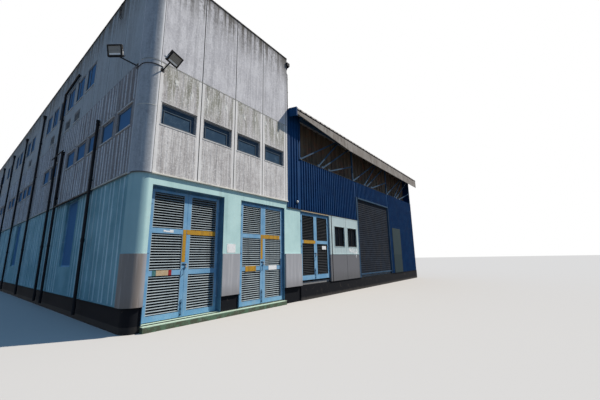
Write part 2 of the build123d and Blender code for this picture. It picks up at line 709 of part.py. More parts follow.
def gable_cutter():
    """The space above the shed roof's underside, to trim what stands below."""
    top = EAVE_TOP + SHED_DEEP
    reach = EAVE_OUT + VERGE
    points = [(-reach, under_roof(-reach)), (RIDGE, under_roof(RIDGE)),
              (SHED_DEEP + reach, under_roof(SHED_DEEP + reach)),
              (SHED_DEEP + reach, top), (-reach, top)]
    face = Plane.YZ * make_face(Polyline(*points, close=True))
    long = SHED_END - OFFICE_WIDE + 2 * REACH
    return Pos(OFFICE_WIDE - REACH, 0, -CLEAR) * extrude(face, amount=long)


def build_shed_back():
    """Blue sheeting on the shed's far end and rear."""
    base = PLINTH_TOP + CLEAR
    long = SHED_DEEP - RIB_DEEP - SHEET - SHEET_SET - CLEAR
    section = ribbed_face(long, RIB_PITCH, RIB_DEEP,
                          lambda along, out: (SHED_END - RIB_DEEP + out, SHEET_SET + along), True)
    end = extrude(Plane.XY.offset(base) * section, amount=under_roof(RIDGE) - base) - gable_cutter()
    rear_section = ribbed_face(SHED_END - OFFICE_WIDE - CLEAR, RIB_PITCH, RIB_DEEP,
                               lambda along, out: (OFFICE_WIDE + CLEAR + along, SHED_DEEP - RIB_DEEP + out),
                               True)
    rear = extrude(Plane.XY.offset(base) * rear_section,
                   amount=under_roof(SHED_DEEP) - CLEAR - base)
    keep("blue_end_sheets", end)
    keep("blue_rear_sheets", rear)


def build_roof():
    """Two ribbed roof slopes and the board along the front eave."""
    angle = math.radians(ROOF_SLOPE)
    start = OFFICE_WIDE + ROOF_START
    end = SHED_END + VERGE
    run = (RIDGE + EAVE_OUT) / math.cos(angle)
    plane = Plane(origin=(start, -EAVE_OUT, ROOF_UNDER), x_dir=(1, 0, 0),
                  z_dir=(0, math.cos(angle), math.sin(angle)))
    section = ribbed_face(end - start, ROOF_PITCH, RIB_DEEP,
                          lambda along, out: (along, -out - SHEET), True)
    front = extrude(plane * section, amount=run - RIDGE_GAP)
    rear = front.mirror(Plane(origin=(0, RIDGE, 0), z_dir=(0, 1, 0)))
    keep("shed_roof", [front, rear])
    top = EAVE_TOP - BOARD_DROP
    outline = [(start, top), (end, top), (end, top - BOARD_TALL),
               (start + BOARD_TAPER, top - BOARD_TALL), (start, top - BOARD_THIN)]
    face = Plane.XZ * make_face(Polyline(*outline, close=True))
    keep("eave_board", Pos(0, -EAVE_OUT + BOARD_THICK, 0) * extrude(face, amount=BOARD_THICK))


def build_portal_frames():
    """Columns and rafters that carry the shed roof, behind the sheeting."""
    front = SET_BACK + RIB_DEEP + COLUMN_GAP
    rear = SHED_DEEP - 2 * RIB_DEEP - COLUMN_GAP
    above = Pos(0, 0, -RAFTER - CLEAR) * gable_cutter()
    solids = []
    for centre in COLUMN_PLACES:
        span = (centre - COLUMN / 2, centre + COLUMN / 2)
        for depth in ((front, front + COLUMN), (rear - COLUMN, rear)):
            solids.append(block(span, depth, (SHED_FLOOR + CLEAR, under_roof(RIDGE))) - above)
        solids.append(roof_strip(front, RIDGE - CLEAR, RAFTER, span))
        solids.append(roof_strip(RIDGE + CLEAR, rear, RAFTER, span))
    keep("portal_frames", solids)


def build_clerestory():
    """The flat braced frame between the sheet top and the eave."""
    left = DOOR_3[0] + CLEAR
    right = SHED_END - END_GAP
    near = RIB_DEEP + CLEAR + SHEET
    depth = (near, near + BRACE)
    middle = sum(depth) / 2
    beam_top = under_roof(near) - CLEAR
    beam_foot = beam_top - BEAM
    clear_up = (SHEET_TOP + CLEAR, beam_foot - CLEAR)
    solids = [block((left, right), depth, (SHEET_TOP - BRACE, SHEET_TOP)),
              block((left, right), depth, (beam_foot, beam_top))]
    bay = (right - left - BRACE) / SHED_BAYS
    bracket_up = (beam_foot, under_roof(BRACKET_END) - CLEAR)
    outside = block((left - REACH, right + REACH), (-REACH, REACH), (clear_up[1], beam_top + REACH))
    outside += block((left - REACH, right + REACH), (-REACH, REACH), (SHEET_TOP - REACH, clear_up[0]))
    for number in range(SHED_BAYS + 1):
        at = left + number * bay
        solids.append(block((at, at + BRACE), depth, clear_up))
        solids.append(block((at, at + BRACE), (BRACKET_END, near - CLEAR), bracket_up))
        outside += block((at - CLEAR, at + BRACE + CLEAR), (-REACH, REACH), clear_up)
    high = beam_foot - SHEET_TOP
    for number in range(SHED_BAYS):
        start = left + number * bay
        earlier = outside
        for (x_low, z_low), (x_high, z_high) in BRACE_LINES:
            foot = (start + x_low * bay, middle, SHEET_TOP + z_low * high)
            head = (start + x_high * bay, middle, SHEET_TOP + z_high * high)
            solids.append(biggest(bar(foot, head, BRACE_WIDE) - earlier))
            earlier = earlier + bar(foot, head, BRACE_WIDE + 2 * CLEAR)
    keep("clerestory_frame", solids)


def biggest(shape):
    """The largest solid of a shape, without the slivers that a cut leaves."""
    return max(shape.solids(), key=lambda solid: solid.volume)


def build_shutter():
    """Closed roller shutter and the posts beside it."""
    low, high = SHUTTER
    up = (SHED_FLOOR + CLEAR, SHUTTER_HEAD)
    count = int((up[1] - up[0]) // SLAT)
    points = []
    for number in range(count):
        foot = up[0] + number * SLAT
        points += [(SHUTTER_BACK + SLAT_DEEP, foot), (SHUTTER_BACK, foot + SLAT_FLAT[0] * SLAT),
                   (SHUTTER_BACK, foot + SLAT_FLAT[1] * SLAT)]
    points.append((SHUTTER_BACK + SLAT_DEEP, up[0] + count * SLAT))
    back = SHUTTER_BACK + SLAT_DEEP + SLAT_THICK
    ring = points + [(back, up[0] + count * SLAT), (back, up[0])]
    face = Plane.YZ * make_face(Polyline(*ring, close=True))
    curtain = Pos(low + CLEAR, 0, 0) * extrude(face, amount=high - low - 2 * CLEAR)
    keep("roller_shutter", curtain)
    post_up = (PLINTH_TOP + CLEAR, SHUTTER_HEAD)
    posts = [block((WINDOW_PANEL[1] + CLEAR, low), (0.0, PANEL_WALL), post_up),
             block((high, high + SHUTTER_POST), (0.0, PANEL_WALL), post_up)]
    keep("shutter_posts", posts)


def pipe_run(points):
    """A pipe through points on the side wall, given as (along, up)."""
    route = [Vector(-PIPE_OUT, along, up) for along, up in points]
    pipe = tube(route[0], route[1], PIPE_RADIUS, PIPE_SIDES)
    for start, end in zip(route[1:], route[2:]):
        back = (start - end).normalized() * PIPE_RADIUS * ELBOW_SHARE
        pipe += tube(start + back, end, PIPE_RADIUS, PIPE_SIDES)
    return pipe


def pipe_clips(along, top):
    """Short arms that hold a pipe to the upper wall, at an even pitch."""
    clips = []
    level = CLIP_FIRST
    while level < top - CLIP:
        clips.append(block((-PIPE_OUT, -CLEAR), (along - CLIP / 2, along + CLIP / 2),
                           (level - CLIP / 2, level + CLIP / 2)))
        level += CLIP_PITCH
    return clips


def build_pipes():
    """Downpipes on the long side wall."""
    routes = [[(along, PIPE_FOOT), (along, top)] for along, top in SHORT_PIPES]
    routes += [[(along, PIPE_FOOT), (along, PIPE_TOP)] for along in PIPE_PLACES]
    routes.append([(BENT_PIPE[0][0], PIPE_FOOT), *BENT_PIPE])
    solids = []
    for points in routes:
        pipe = pipe_run(points)
        solids.append(pipe.fuse(*pipe_clips(*points[1])))
    keep("downpipes", solids)


def lamp_place(end, facing, tilt):
    """The plane of a lamp's back: its normal is the way the lamp looks."""
    turn = math.radians(facing)
    drop = math.radians(tilt)
    look = (math.sin(turn) * math.cos(drop), -math.cos(turn) * math.cos(drop), -math.sin(drop))
    across = (math.cos(turn), math.sin(turn), 0)
    return Plane(origin=end, x_dir=across, z_dir=look)


def lamp_arm(foot, end, place):
    """A round arm on a square wall plate, with a knuckle behind the lamp."""
    line = Vector(*end) - Vector(*foot)
    size = [ARM_PLATE if abs(part) < line.length / 2 else PLATE_THICK for part in line]
    knuckle = place * Box(2 * ARM_KNOB, 2 * ARM_KNOB, 2 * ARM_KNOB)
    arm = tube(foot, end, ARM_RADIUS) + Pos(*foot) * Box(*size) + knuckle
    inside = block((-CLEAR, REACH), (-CLEAR, REACH * 2), (foot[2] - REACH, foot[2] + REACH))
    return arm - inside


def lamp_conduit():
    """The thin conduit that joins the two arms round the corner."""
    out = CONDUIT_RADIUS + CLEAR
    left, right = LEFT_LAMP[0], RIGHT_LAMP[0]
    level = CONDUIT_LEVEL
    path = [Line((-out, left[1], left[2]), (-out, left[1], level)),
            Line((-out, left[1], level), (-out, CORNER_RADIUS, level)),
            ThreePointArc((-out, CORNER_RADIUS, level), bend_middle(CORNER_RADIUS + out, level),
                          (CORNER_RADIUS, -out, level)),
            Line((CORNER_RADIUS, -out, level), (right[0], -out, level)),
            Line((right[0], -out, level), (right[0], -out, right[2]))]
    section = Plane(origin=(-out, left[1], left[2]), z_dir=(0, 0, -1)) * RegularPolygon(CONDUIT_RADIUS, 6)
    return sweep(section, path=Wire([edge for piece in path for edge in piece.edges()]),
                 transition=Transition.RIGHT)


def bend_middle(radius, level):
    """The middle point of an arc round the rounded corner."""
    reach = radius / math.sqrt(2)
    return (CORNER_RADIUS - reach, CORNER_RADIUS - reach, level)


def build_lamps():
    """Two flood lamps, their arms and the conduit between them."""
    arms = []
    heads = []
    for foot, end, facing, tilt in (LEFT_LAMP, RIGHT_LAMP):
        place = lamp_place(end, facing, tilt)
        back = ARM_KNOB + CLEAR
        head = Pos(0, LAMP_LIFT, LAMP_DEEP / 2 + back) * Box(LAMP_WIDE, LAMP_TALL, LAMP_DEEP)
        hollow = Pos(0, LAMP_LIFT, LAMP_DEEP + back) * Box(
            LAMP_WIDE - 2 * LAMP_RIM, LAMP_TALL - 2 * LAMP_RIM, LAMP_RIM)
        heads.append(place * (head - hollow))
        arms.append(lamp_arm(foot, end, place))
    keep("lamp_arms", arms[0].fuse(arms[1], lamp_conduit()))
    keep("flood_lamps", heads)


ORIGIN = (OFFICE_WIDE / 2, OFFICE_LONG / 2)


def main():
    build_ground_storey()
    build_upper_storeys()
    build_windows()
    build_dado()
    build_doors()
    build_shed_base()
    build_shed_front()
    build_shed_sheets()
    build_shed_back()
    build_roof()
    build_portal_frames()
    build_clerestory()
    build_shutter()
    build_pipes()
    build_lamps()
    os.makedirs("parts", exist_ok=True)
    shift = Pos(-ORIGIN[0], -ORIGIN[1], 0)
    for name, solids in PARTS.items():
        shape = Compound([solid for piece in solids for solid in (shift * piece).solids()])
        export_step(shape, f"parts/{name}.step")
        print(name, len(shape.solids()), "solids")


main()
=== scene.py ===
# %% [markdown]
# # A warehouse: a concrete block and a steel-clad shed
# The solids come packed, in metres, with their bodies and hinges.
# This lesson gives them a finish and adds the small pieces that a modeller would
# place afterwards: flutes in the panels, sills, plates, straps, lamps and flashings.
# First the packed frame is loaded.

# %% Load the frame
import bmesh
import bpy
import math
import random
from mathutils import Matrix, Vector


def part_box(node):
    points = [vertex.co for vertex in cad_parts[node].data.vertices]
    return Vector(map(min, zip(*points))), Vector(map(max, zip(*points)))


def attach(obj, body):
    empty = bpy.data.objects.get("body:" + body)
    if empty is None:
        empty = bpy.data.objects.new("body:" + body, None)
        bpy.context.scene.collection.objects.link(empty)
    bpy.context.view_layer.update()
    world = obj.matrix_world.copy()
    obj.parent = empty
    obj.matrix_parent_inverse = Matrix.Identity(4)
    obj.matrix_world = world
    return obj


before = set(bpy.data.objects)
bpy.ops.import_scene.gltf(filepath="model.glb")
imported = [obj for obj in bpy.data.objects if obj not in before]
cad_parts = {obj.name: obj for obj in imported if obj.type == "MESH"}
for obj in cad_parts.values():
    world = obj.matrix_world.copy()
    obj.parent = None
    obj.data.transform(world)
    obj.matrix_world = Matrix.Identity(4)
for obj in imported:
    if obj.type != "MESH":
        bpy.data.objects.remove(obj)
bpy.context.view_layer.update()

# %% [markdown]
# ## Where things are
# On site a wall is set out from its outer corner, so this lesson does the same:
# every size is in metres from the outer front corner of the block, at the ground.
# One function turns such a spot into the frame's own place. Keeping it in one
# place means that no other line needs to know where the frame's origin is.

# %% Places on the building
CORNER = Vector(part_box("corner_upper")[0])
PLINTH_TOP, GROUND_TOP, FIRST_TOP, PARAPET_TOP = 0.55, 3.6, 6.62, 9.63
BLOCK_WIDE, BLOCK_LONG, SHED_DEEP = 5.31, 29.4, 14.4
CORNER_FRONT, CORNER_SIDE, CORNER_RADIUS = 0.345, 0.47, 0.33
FRONT_PANEL, FRONT_PANELS = 1.215, 4
SIDE_PANEL, SIDE_PANELS = 1.2, 24


def spot(x, y, z):
    """A place given from the block's outer corner, in the frame's metres."""
    return Vector((x + CORNER.x, y + CORNER.y, z))


def on_front(inset):
    """Places on a wall that faces the front: (along, out, up) to a spot."""
    return lambda along, out, up: spot(along, inset - out, up)


def on_side(inset):
    """The same on the long side wall, where along runs away from the corner."""
    return lambda along, out, up: spot(inset - out, along, up)


def on_east(along, out, up):
    """The same on the block's far side wall."""
    return spot(BLOCK_WIDE + out, along, up)


def on_rear(along, out, up):
    """The same on the block's rear wall."""
    return spot(along, BLOCK_LONG + out, up)


front_face, side_face = on_front(0), on_side(0)
print("outer corner at", [round(v, 3) for v in spot(0, 0, 0)])

# %% [markdown]
# ## The camera
# A camera is a place and three directions. Turning it step by step with Euler
# angles works too, but building its matrix from the three directions makes the
# aim, tilt and roll easy to read. It stands at eye height near the front corner.

# %% Camera
CAMERA_PLACE, LENS, FILM_WIDE = (-5.277, -21.563, 1.546), 17.25, 36
CAMERA_YAW, CAMERA_PITCH, CAMERA_ROLL = (math.radians(a) for a in (51.61, 11.43, -1.01))
ahead = Vector((math.sin(CAMERA_YAW) * math.cos(CAMERA_PITCH),
                math.cos(CAMERA_YAW) * math.cos(CAMERA_PITCH), math.sin(CAMERA_PITCH)))
level = Vector((math.cos(CAMERA_YAW), -math.sin(CAMERA_YAW), 0))
above = level.cross(ahead)
across = math.cos(CAMERA_ROLL) * level + math.sin(CAMERA_ROLL) * above
upright = math.cos(CAMERA_ROLL) * above - math.sin(CAMERA_ROLL) * level
camera = bpy.data.objects.new("camera", bpy.data.cameras.new("camera"))
camera.matrix_world = (Matrix.Translation(CAMERA_PLACE)
                       @ Matrix((across, upright, -ahead)).transposed().to_4x4())
camera.data.lens = LENS
camera.data.sensor_width = FILM_WIDE
bpy.context.scene.collection.objects.link(camera)
bpy.context.scene.camera = camera
bpy.context.scene.view_settings.view_transform = "Standard"
print("camera looks along", [round(v, 2) for v in ahead])

# %% [markdown]
# ## Mesh helpers
# Sheet metal, render bands and plates are all simple prisms, joined in numbers.
# A modelling tool could array them by hand; a few functions that add faces to one
# mesh keep each kind of piece in one object, light and easy to change.

# %% Helpers that add faces
def add_hull(mesh, points, faces):
    """Adds points and the faces between them."""
    verts = [mesh.verts.new(p) for p in points]
    for face in faces:
        mesh.faces.new([verts[i] for i in face])


BOX_FACES = ((0, 3, 2, 1), (4, 5, 6, 7), (0, 1, 5, 4), (1, 2, 6, 5), (2, 3, 7, 6), (3, 0, 4, 7))


def add_band(mesh, place, along, out, up, slope=0.0):
    """A raised band on a wall; slope narrows its outer face on all sides."""
    points = []
    for depth, inset in ((out[0], 0.0), (out[1], slope)):
        left, right = along[0] + inset, along[1] - inset
        foot, head = up[0] + inset, up[1] - inset
        points += [place(a, depth, u) for a, u in ((left, foot), (right, foot), (right, head), (left, head))]
    add_hull(mesh, points, BOX_FACES)


def add_ring(mesh, place, along, out, up, wide, slope=0.0):
    """A rectangular ring of four bands, such as a sash."""
    for span in ((up[0], up[0] + wide), (up[1] - wide, up[1])):
        add_band(mesh, place, along, out, span, slope)
    for span in ((along[0], along[0] + wide), (along[1] - wide, along[1])):
        add_band(mesh, place, span, out, (up[0] + wide, up[1] - wide), slope)


def add_sweep(mesh, path, section):
    """Sweeps a closed section of (out, up) along a plan path of (point, outward) pairs."""
    rings = []
    for point, outward in path:
        rings.append([mesh.verts.new(spot(point[0] + outward[0] * out, point[1] + outward[1] * out, up))
                      for out, up in section])
    count = len(section)
    for ring, after in zip(rings, rings[1:]):
        for i in range(count):
            mesh.faces.new((ring[i], ring[(i + 1) % count], after[(i + 1) % count], after[i]))
    mesh.faces.new(rings[0])
    mesh.faces.new(list(reversed(rings[-1])))


def add_rod(mesh, start, end, radius, sides=12, top_radius=None):
    """A rod or cone between two points in the frame."""
    line = end - start
    turn = line.to_track_quat("Z", "Y").to_matrix().to_4x4()
    made = bmesh.ops.create_cone(mesh, cap_ends=True, segments=sides, radius1=radius,
                                 radius2=radius if top_radius is None else top_radius, depth=line.length)
    bmesh.ops.transform(mesh, matrix=Matrix.Translation((start + end) / 2) @ turn, verts=made["verts"])


print("a band has", len(BOX_FACES), "faces, and a ring four bands")

# %% [markdown]
# ## From faces to a piece
# Every piece says which body of the frame it rides on and which slot its finish
# belongs to. One function does that for all, so no piece can miss it.

# %% Pieces
def make_piece(name, mesh, material, body="building", bevel=0.0):
    """Turns the faces into an object that rides on a body of the frame."""
    bmesh.ops.recalc_face_normals(mesh, faces=mesh.faces[:])
    data = bpy.data.meshes.new(name)
    mesh.to_mesh(data)
    mesh.free()
    piece = bpy.data.objects.new(name, data)
    bpy.context.scene.collection.objects.link(piece)
    data.materials.append(material)
    if bevel:
        edge = piece.modifiers.new("soft edges", "BEVEL")
        edge.width = bevel
        edge.segments = 2
        edge.limit_method = "ANGLE"
    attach(piece, body)
    print("made", name, len(data.vertices), "points")
    return piece


def make_bands(name, material, place, bands, body="building"):
    """One piece made of bands, each given as (along, out, up, slope)."""
    mesh = bmesh.new()
    for along, out, up, slope in bands:
        add_band(mesh, place, along, out, up, slope)
    return make_piece(name, mesh, material, body)


# %% [markdown]
# ## Shared effects
# Rain streaks, blotches, grain, chips and dirt that gathers by height turn up on
# nearly every surface. Painting them on each one would take days, so each effect
# is a node group with named inputs, made once and placed with its own values.
# All of them read the object's own metres, so a streak is as wide on the wall as
# it is on a door, and stays on its leaf when the door turns.

# %% Helpers for node trees
def join(tree, value, socket):
    """Sets a socket to a value, or links it to another socket."""
    if isinstance(value, bpy.types.NodeSocket):
        tree.links.new(value, socket)
    elif value is not None:
        socket.default_value = value


def add_node(tree, kind, inputs, **settings):
    """A node with its settings and its inputs, given by name or number."""
    made = tree.nodes.new(kind)
    for key, value in settings.items():
        setattr(made, key, value)
    for key, value in inputs.items():
        join(tree, value, made.inputs[key])
    return made


def math_node(tree, kind, first, second=None):
    """One sum, of one or two numbers."""
    inputs = {0: first} if second is None else {0: first, 1: second}
    return add_node(tree, "ShaderNodeMath", inputs, operation=kind).outputs[0]


def spread(tree, value, low, high):
    """Stretches low..high to 0..1 and stops there."""
    return add_node(tree, "ShaderNodeMapRange", {"Value": value, "From Min": low, "From Max": high},
                    clamp=True, interpolation_type="SMOOTHSTEP").outputs["Result"]


def own_metres(tree, size):
    """The object's own coordinates, multiplied by a size in each direction."""
    place = tree.nodes.new("ShaderNodeTexCoord").outputs["Object"]
    return add_node(tree, "ShaderNodeVectorMath", {0: place, 1: size}, operation="MULTIPLY").outputs[0]


def noise(tree, vector, scale, detail=4.0, rough=0.6):
    """Soft noise from a vector."""
    return add_node(tree, "ShaderNodeTexNoise", {"Vector": vector, "Scale": scale, "Detail": detail,
                                                 "Roughness": rough}).outputs["Fac"]


def new_group(name, inputs, outputs):
    """An empty node group; inputs are (name, value), outputs are (name, kind)."""
    tree = bpy.data.node_groups.new(name, "ShaderNodeTree")
    for label, value in inputs:
        socket = tree.interface.new_socket(label, in_out="INPUT", socket_type="NodeSocketFloat")
        socket.default_value = value
    for label, kind in outputs:
        tree.interface.new_socket(label, in_out="OUTPUT", socket_type=kind)
    print("effect", name, "takes", [label for label, value in inputs])
    return tree, tree.nodes.new("NodeGroupInput").outputs, tree.nodes.new("NodeGroupOutput").inputs


NUMBER, ARROW = "NodeSocketFloat", "NodeSocketVector"
print("sockets are of the kinds", NUMBER, "and", ARROW)

# %% [markdown]
# ### Streaks and patches
# Rain leaves tall narrow marks, and age leaves blotches of any size. Both are soft
# noise. Stretching it, so that it changes often along a wall and seldom up it, is
# all that makes a streak of it.

# %% Upright streaks
streaks, given, result = new_group("upright_streaks",
                                   [("Per metre", 8.0), ("Tall", 0.35), ("Low", 0.45), ("High", 0.7)],
                                   [("Mask", NUMBER)])
stretch = add_node(streaks, "ShaderNodeCombineXYZ",
                   {"X": given["Per metre"], "Y": given["Per metre"], "Z": given["Tall"]}).outputs[0]
join(streaks, spread(streaks, noise(streaks, own_metres(streaks, stretch), 1.0, 5.0, 0.55),
                     given["Low"], given["High"]), result["Mask"])

# %% Patches
patches, given, result = new_group("patches", [("Per metre", 0.8), ("Low", 0.4), ("High", 0.65)],
                                   [("Mask", NUMBER)])
join(patches, spread(patches, noise(patches, own_metres(patches, (1, 1, 1)), given["Per metre"], 6.0, 0.65),
                     given["Low"], given["High"]), result["Mask"])

# %% [markdown]
# ### Grain
# Concrete and old paint are rough to the touch. A bump that is only millimetres
# deep shows it, and its height also makes the high grains a little duller.

# %% Grain and bump
grain, given, result = new_group("fine_grain", [("Per metre", 60.0), ("Depth", 0.004)],
                                 [("Value", NUMBER), ("Normal", ARROW)])
fine = noise(grain, own_metres(grain, (1, 1, 1)), given["Per metre"], 5.0, 0.7)
bump = add_node(grain, "ShaderNodeBump", {"Height": fine, "Distance": given["Depth"], "Strength": 0.6})
join(grain, fine, result["Value"])
join(grain, bump.outputs["Normal"], result["Normal"])

# %% [markdown]
# ### Dirt by height
# Splashes stay low and soot stays high. This mask is 0 below Bottom and 1 above
# Top, or the other way round if Top is the lower one. Its edge wanders like a tide
# mark, which a plain gradient would not do.

# %% Dirt by height
by_height, given, result = new_group("by_height", [("Bottom", 0.0), ("Top", 1.0), ("Wander", 0.1)],
                                     [("Mask", NUMBER)])
up = add_node(by_height, "ShaderNodeSeparateXYZ", {0: own_metres(by_height, (1, 1, 1))}).outputs["Z"]
wave = math_node(by_height, "SUBTRACT", noise(by_height, own_metres(by_height, (1, 1, 0.2)), 6.0), 0.5)
up = math_node(by_height, "ADD", up, math_node(by_height, "MULTIPLY", wave, given["Wander"]))
join(by_height, spread(by_height, up, given["Bottom"], given["Top"]), result["Mask"])

# %% [markdown]
# ### Panel edges
# Rain runs down beside the joints of a row of panels. A mask that counts panels
# along the wall and measures to the next joint puts a band there, however many
# panels there are.

# %% Panel edges
panel_edges, given, result = new_group("panel_edges", [("Along", 0.0), ("First", 0.0), ("Pitch", 1.2),
                                                       ("Wide", 0.1)], [("Mask", NUMBER)])
share = math_node(panel_edges, "DIVIDE", math_node(panel_edges, "SUBTRACT", given["Along"], given["First"]),
                  given["Pitch"])
share = math_node(panel_edges, "ABSOLUTE", math_node(
    panel_edges, "SUBTRACT", math_node(panel_edges, "FRACT", share), 0.5))
from_joint = math_node(panel_edges, "MULTIPLY",
                       math_node(panel_edges, "SUBTRACT", 0.5, share), given["Pitch"])
inside = math_node(panel_edges, "GREATER_THAN", from_joint, given["Wide"])
join(panel_edges, math_node(panel_edges, "SUBTRACT", 1.0, inside), result["Mask"])
print("effects", [group.name for group in bpy.data.node_groups])

# %% [markdown]
# ## Finishes
# Each finish starts as one Principled surface. Its colour is laid on in coats, as
# a painter would: a base, then masks that blend in dirt, streaks or bare metal.
# A small class keeps that short and leaves the shader itself in the material.
# Each of its steps returns the finish, so a whole recipe reads as one chain.

# %% Coats of colour
MIXED_ROUGHNESS, DULLER = 0.8, 0.1


class Finish:
    """A material whose colour is built up in coats."""

    def __init__(self, name, colour, roughness, specular=0.5):
        self.material = bpy.data.materials.new(name)
        self.material.use_nodes = True
        self.tree = self.material.node_tree
        self.shader = self.tree.nodes["Principled BSDF"]
        self.shader.inputs["Metallic"].default_value = 0.0
        self.shader.inputs["Specular IOR Level"].default_value = specular
        self.colour = (*colour, 1.0)
        self.roughness = roughness

    def effect(self, group, output="Mask", **inputs):
        """Places a shared effect with its own values."""
        made = self.tree.nodes.new("ShaderNodeGroup")
        made.node_tree = group
        for key, value in inputs.items():
            join(self.tree, value, made.inputs[key.replace("_", " ")])
        return made.outputs[output]

    def along(self, axis):
        """The object's own place along one axis."""
        place = own_metres(self.tree, (1, 1, 1))
        return add_node(self.tree, "ShaderNodeSeparateXYZ", {0: place}).outputs[axis]

    def coat(self, mask, colour, share=1.0):
        """Blends a colour in where the mask is, up to a share."""
        if share != 1.0:
            mask = math_node(self.tree, "MULTIPLY", mask, share)
        mix = add_node(self.tree, "ShaderNodeMix", {"Factor": mask}, data_type="RGBA")
        join(self.tree, self.colour, mix.inputs[6])
        join(self.tree, (*colour, 1.0), mix.inputs[7])
        self.colour = mix.outputs[2]
        return self

    def lay(self, group, colour, share=1.0, within=None, **values):
        """Lays a coat where a shared effect puts it, and only within a mask if one is given."""
        mask = self.effect(group, **values)
        if within is not None:
            mask = math_node(self.tree, "MULTIPLY", within, mask)
        return self.coat(mask, colour, share)

    def rub(self, mask, roughness):
        """Blends in another roughness where the mask is."""
        mix = add_node(self.tree, "ShaderNodeMix", {"Factor": mask, 2: self.roughness, 3: roughness})
        self.roughness = mix.outputs[0]
        return self

    def grain(self, per_metre, depth):
        """Fine bump, and a slight change of roughness with it."""
        normal = self.effect(grain, "Normal", Per_metre=per_metre, Depth=depth)
        join(self.tree, normal, self.shader.inputs["Normal"])
        value = self.effect(grain, "Value", Per_metre=per_metre * 0.3, Depth=depth)
        plain = self.roughness if isinstance(self.roughness, float) else MIXED_ROUGHNESS
        return self.rub(value, min(1.0, plain + DULLER))

    def done(self):
        """Links the last coat and returns the material."""
        join(self.tree, self.colour, self.shader.inputs["Base Color"])
        join(self.tree, self.roughness, self.shader.inputs["Roughness"])
        print("finish", self.material.name, "from", len(self.tree.nodes), "nodes")
        return self.material


print("steps of a finish", [name for name in vars(Finish) if not name.startswith("_")])

# %% [markdown]
# ### Precast concrete
# The real panels are cast grey, then rain washes pale bands beside the joints and
# leaves dark runs from the parapet and below the sills. One recipe with a few
# values makes the sunny front, the fluted side and the plain upper storey.

# %% Recipe for concrete
PARAPET_DIRT, JOINT_DARK = (0.075, 0.07, 0.06), (0.085, 0.085, 0.09)
WASHED_FRONT, WASHED_SIDE = (0.84, 0.83, 0.82), (0.74, 0.74, 0.75)
FRONT_JOINTS = ("X", CORNER.x + CORNER_FRONT, FRONT_PANEL)
SIDE_JOINTS = ("Y", CORNER.y + CORNER_SIDE, SIDE_PANEL)


def concrete(name, pale, dull, run, joints=None, runs=0.6, per_metre=7.0, edge=0.08, joint_wide=0.014,
             above=None, round_unit=False):
    """Precast concrete with washed joints, runs and a dirty parapet."""
    made = Finish(name, dull, 0.88, specular=0.2)
    made.lay(patches, pale, 0.5, Per_metre=1.4, Low=0.38, High=0.62)
    made.lay(streaks, run, runs, Per_metre=per_metre, Tall=0.3, Low=0.44, High=0.66)
    if above:
        over_windows = made.effect(by_height, Bottom=5.2, Top=6.1, Wander=0.5)
        made.lay(streaks, above, 0.75, over_windows, Per_metre=4.5, Tall=0.6, Low=0.40, High=0.58)
    made.lay(streaks, pale, 0.45, Per_metre=per_metre * 4.0, Tall=1.6, Low=0.49, High=0.62)
    made.lay(patches, run, 0.4, Per_metre=10.0, Low=0.53, High=0.66)
    made.lay(patches, pale, 0.5, Per_metre=24.0, Low=0.50, High=0.62)
    made.lay(patches, run, 0.3, Per_metre=17.0, Low=0.52, High=0.62)
    if joints:
        axis, first, pitch = joints
        for colour, share, wide in ((pale, 0.7, edge), (JOINT_DARK, 0.9, joint_wide)):
            made.lay(panel_edges, colour, share, Along=made.along(axis), First=first, Pitch=pitch, Wide=wide)
    if round_unit:
        front_edge = spread(made.tree, made.along("X"), CORNER.x + 0.28, CORNER.x + 0.335)
        side_edge = spread(made.tree, made.along("Y"), CORNER.y + 0.415, CORNER.y + 0.455)
        made.coat(front_edge, WASHED_FRONT, 0.75)
        made.coat(side_edge, WASHED_SIDE, 0.75)
    high = made.effect(by_height, Bottom=8.1, Top=9.75, Wander=0.9)
    made.lay(streaks, PARAPET_DIRT, 0.95, high, Per_metre=9.0, Tall=0.25, Low=0.42, High=0.58)
    made.lay(patches, PARAPET_DIRT, 0.55, high, Per_metre=11.0, Low=0.50, High=0.60)
    made.lay(by_height, PARAPET_DIRT, 0.75, Bottom=9.3, Top=9.66, Wander=0.35)
    return made.grain(55.0, 0.006).done()


print("panels start at", [round(joints[1], 3) for joints in (FRONT_JOINTS, SIDE_JOINTS)])

# %% Concrete of each wall
front_top_concrete = concrete(
    "front_top_concrete", (0.76, 0.75, 0.755), (0.51, 0.50, 0.515), (0.34, 0.335, 0.35), FRONT_JOINTS,
    runs=0.5, edge=0.034, joint_wide=0.017)
front_first_concrete = concrete(
    "front_first_concrete", (0.84, 0.82, 0.79), (0.48, 0.455, 0.44), (0.28, 0.26, 0.25), FRONT_JOINTS,
    runs=0.55, per_metre=6.0, edge=0.09, above=(0.23, 0.23, 0.17))
side_top_concrete = concrete(
    "side_top_concrete", (0.48, 0.51, 0.52), (0.39, 0.41, 0.42), (0.26, 0.26, 0.26), SIDE_JOINTS, runs=0.5)
# The side's middle storey is dark and its flutes pale: partly their own tone and washing, partly painted
# shade in the grooves and painted light on the raised flutes.
side_first_concrete = concrete(
    "side_first_concrete", (0.38, 0.375, 0.38), (0.24, 0.23, 0.235), (0.13, 0.115, 0.115), SIDE_JOINTS,
    runs=0.8, per_metre=8.0, edge=0.05)
# Painted light on the raised flutes, over real washing.
washed_and_lit_flutes = concrete(
    "washed_and_lit_flutes", (0.88, 0.88, 0.89), (0.64, 0.64, 0.65), (0.26, 0.25, 0.25), runs=0.55, per_metre=9.0)
corner_concrete = concrete(
    "corner_concrete", (0.52, 0.535, 0.55), (0.38, 0.40, 0.42), (0.24, 0.25, 0.27), runs=0.5, per_metre=6.0,
    round_unit=True)
rear_concrete = concrete(
    "rear_concrete", (0.50, 0.50, 0.49), (0.40, 0.40, 0.39), (0.26, 0.255, 0.245), runs=0.6, per_metre=6.0)

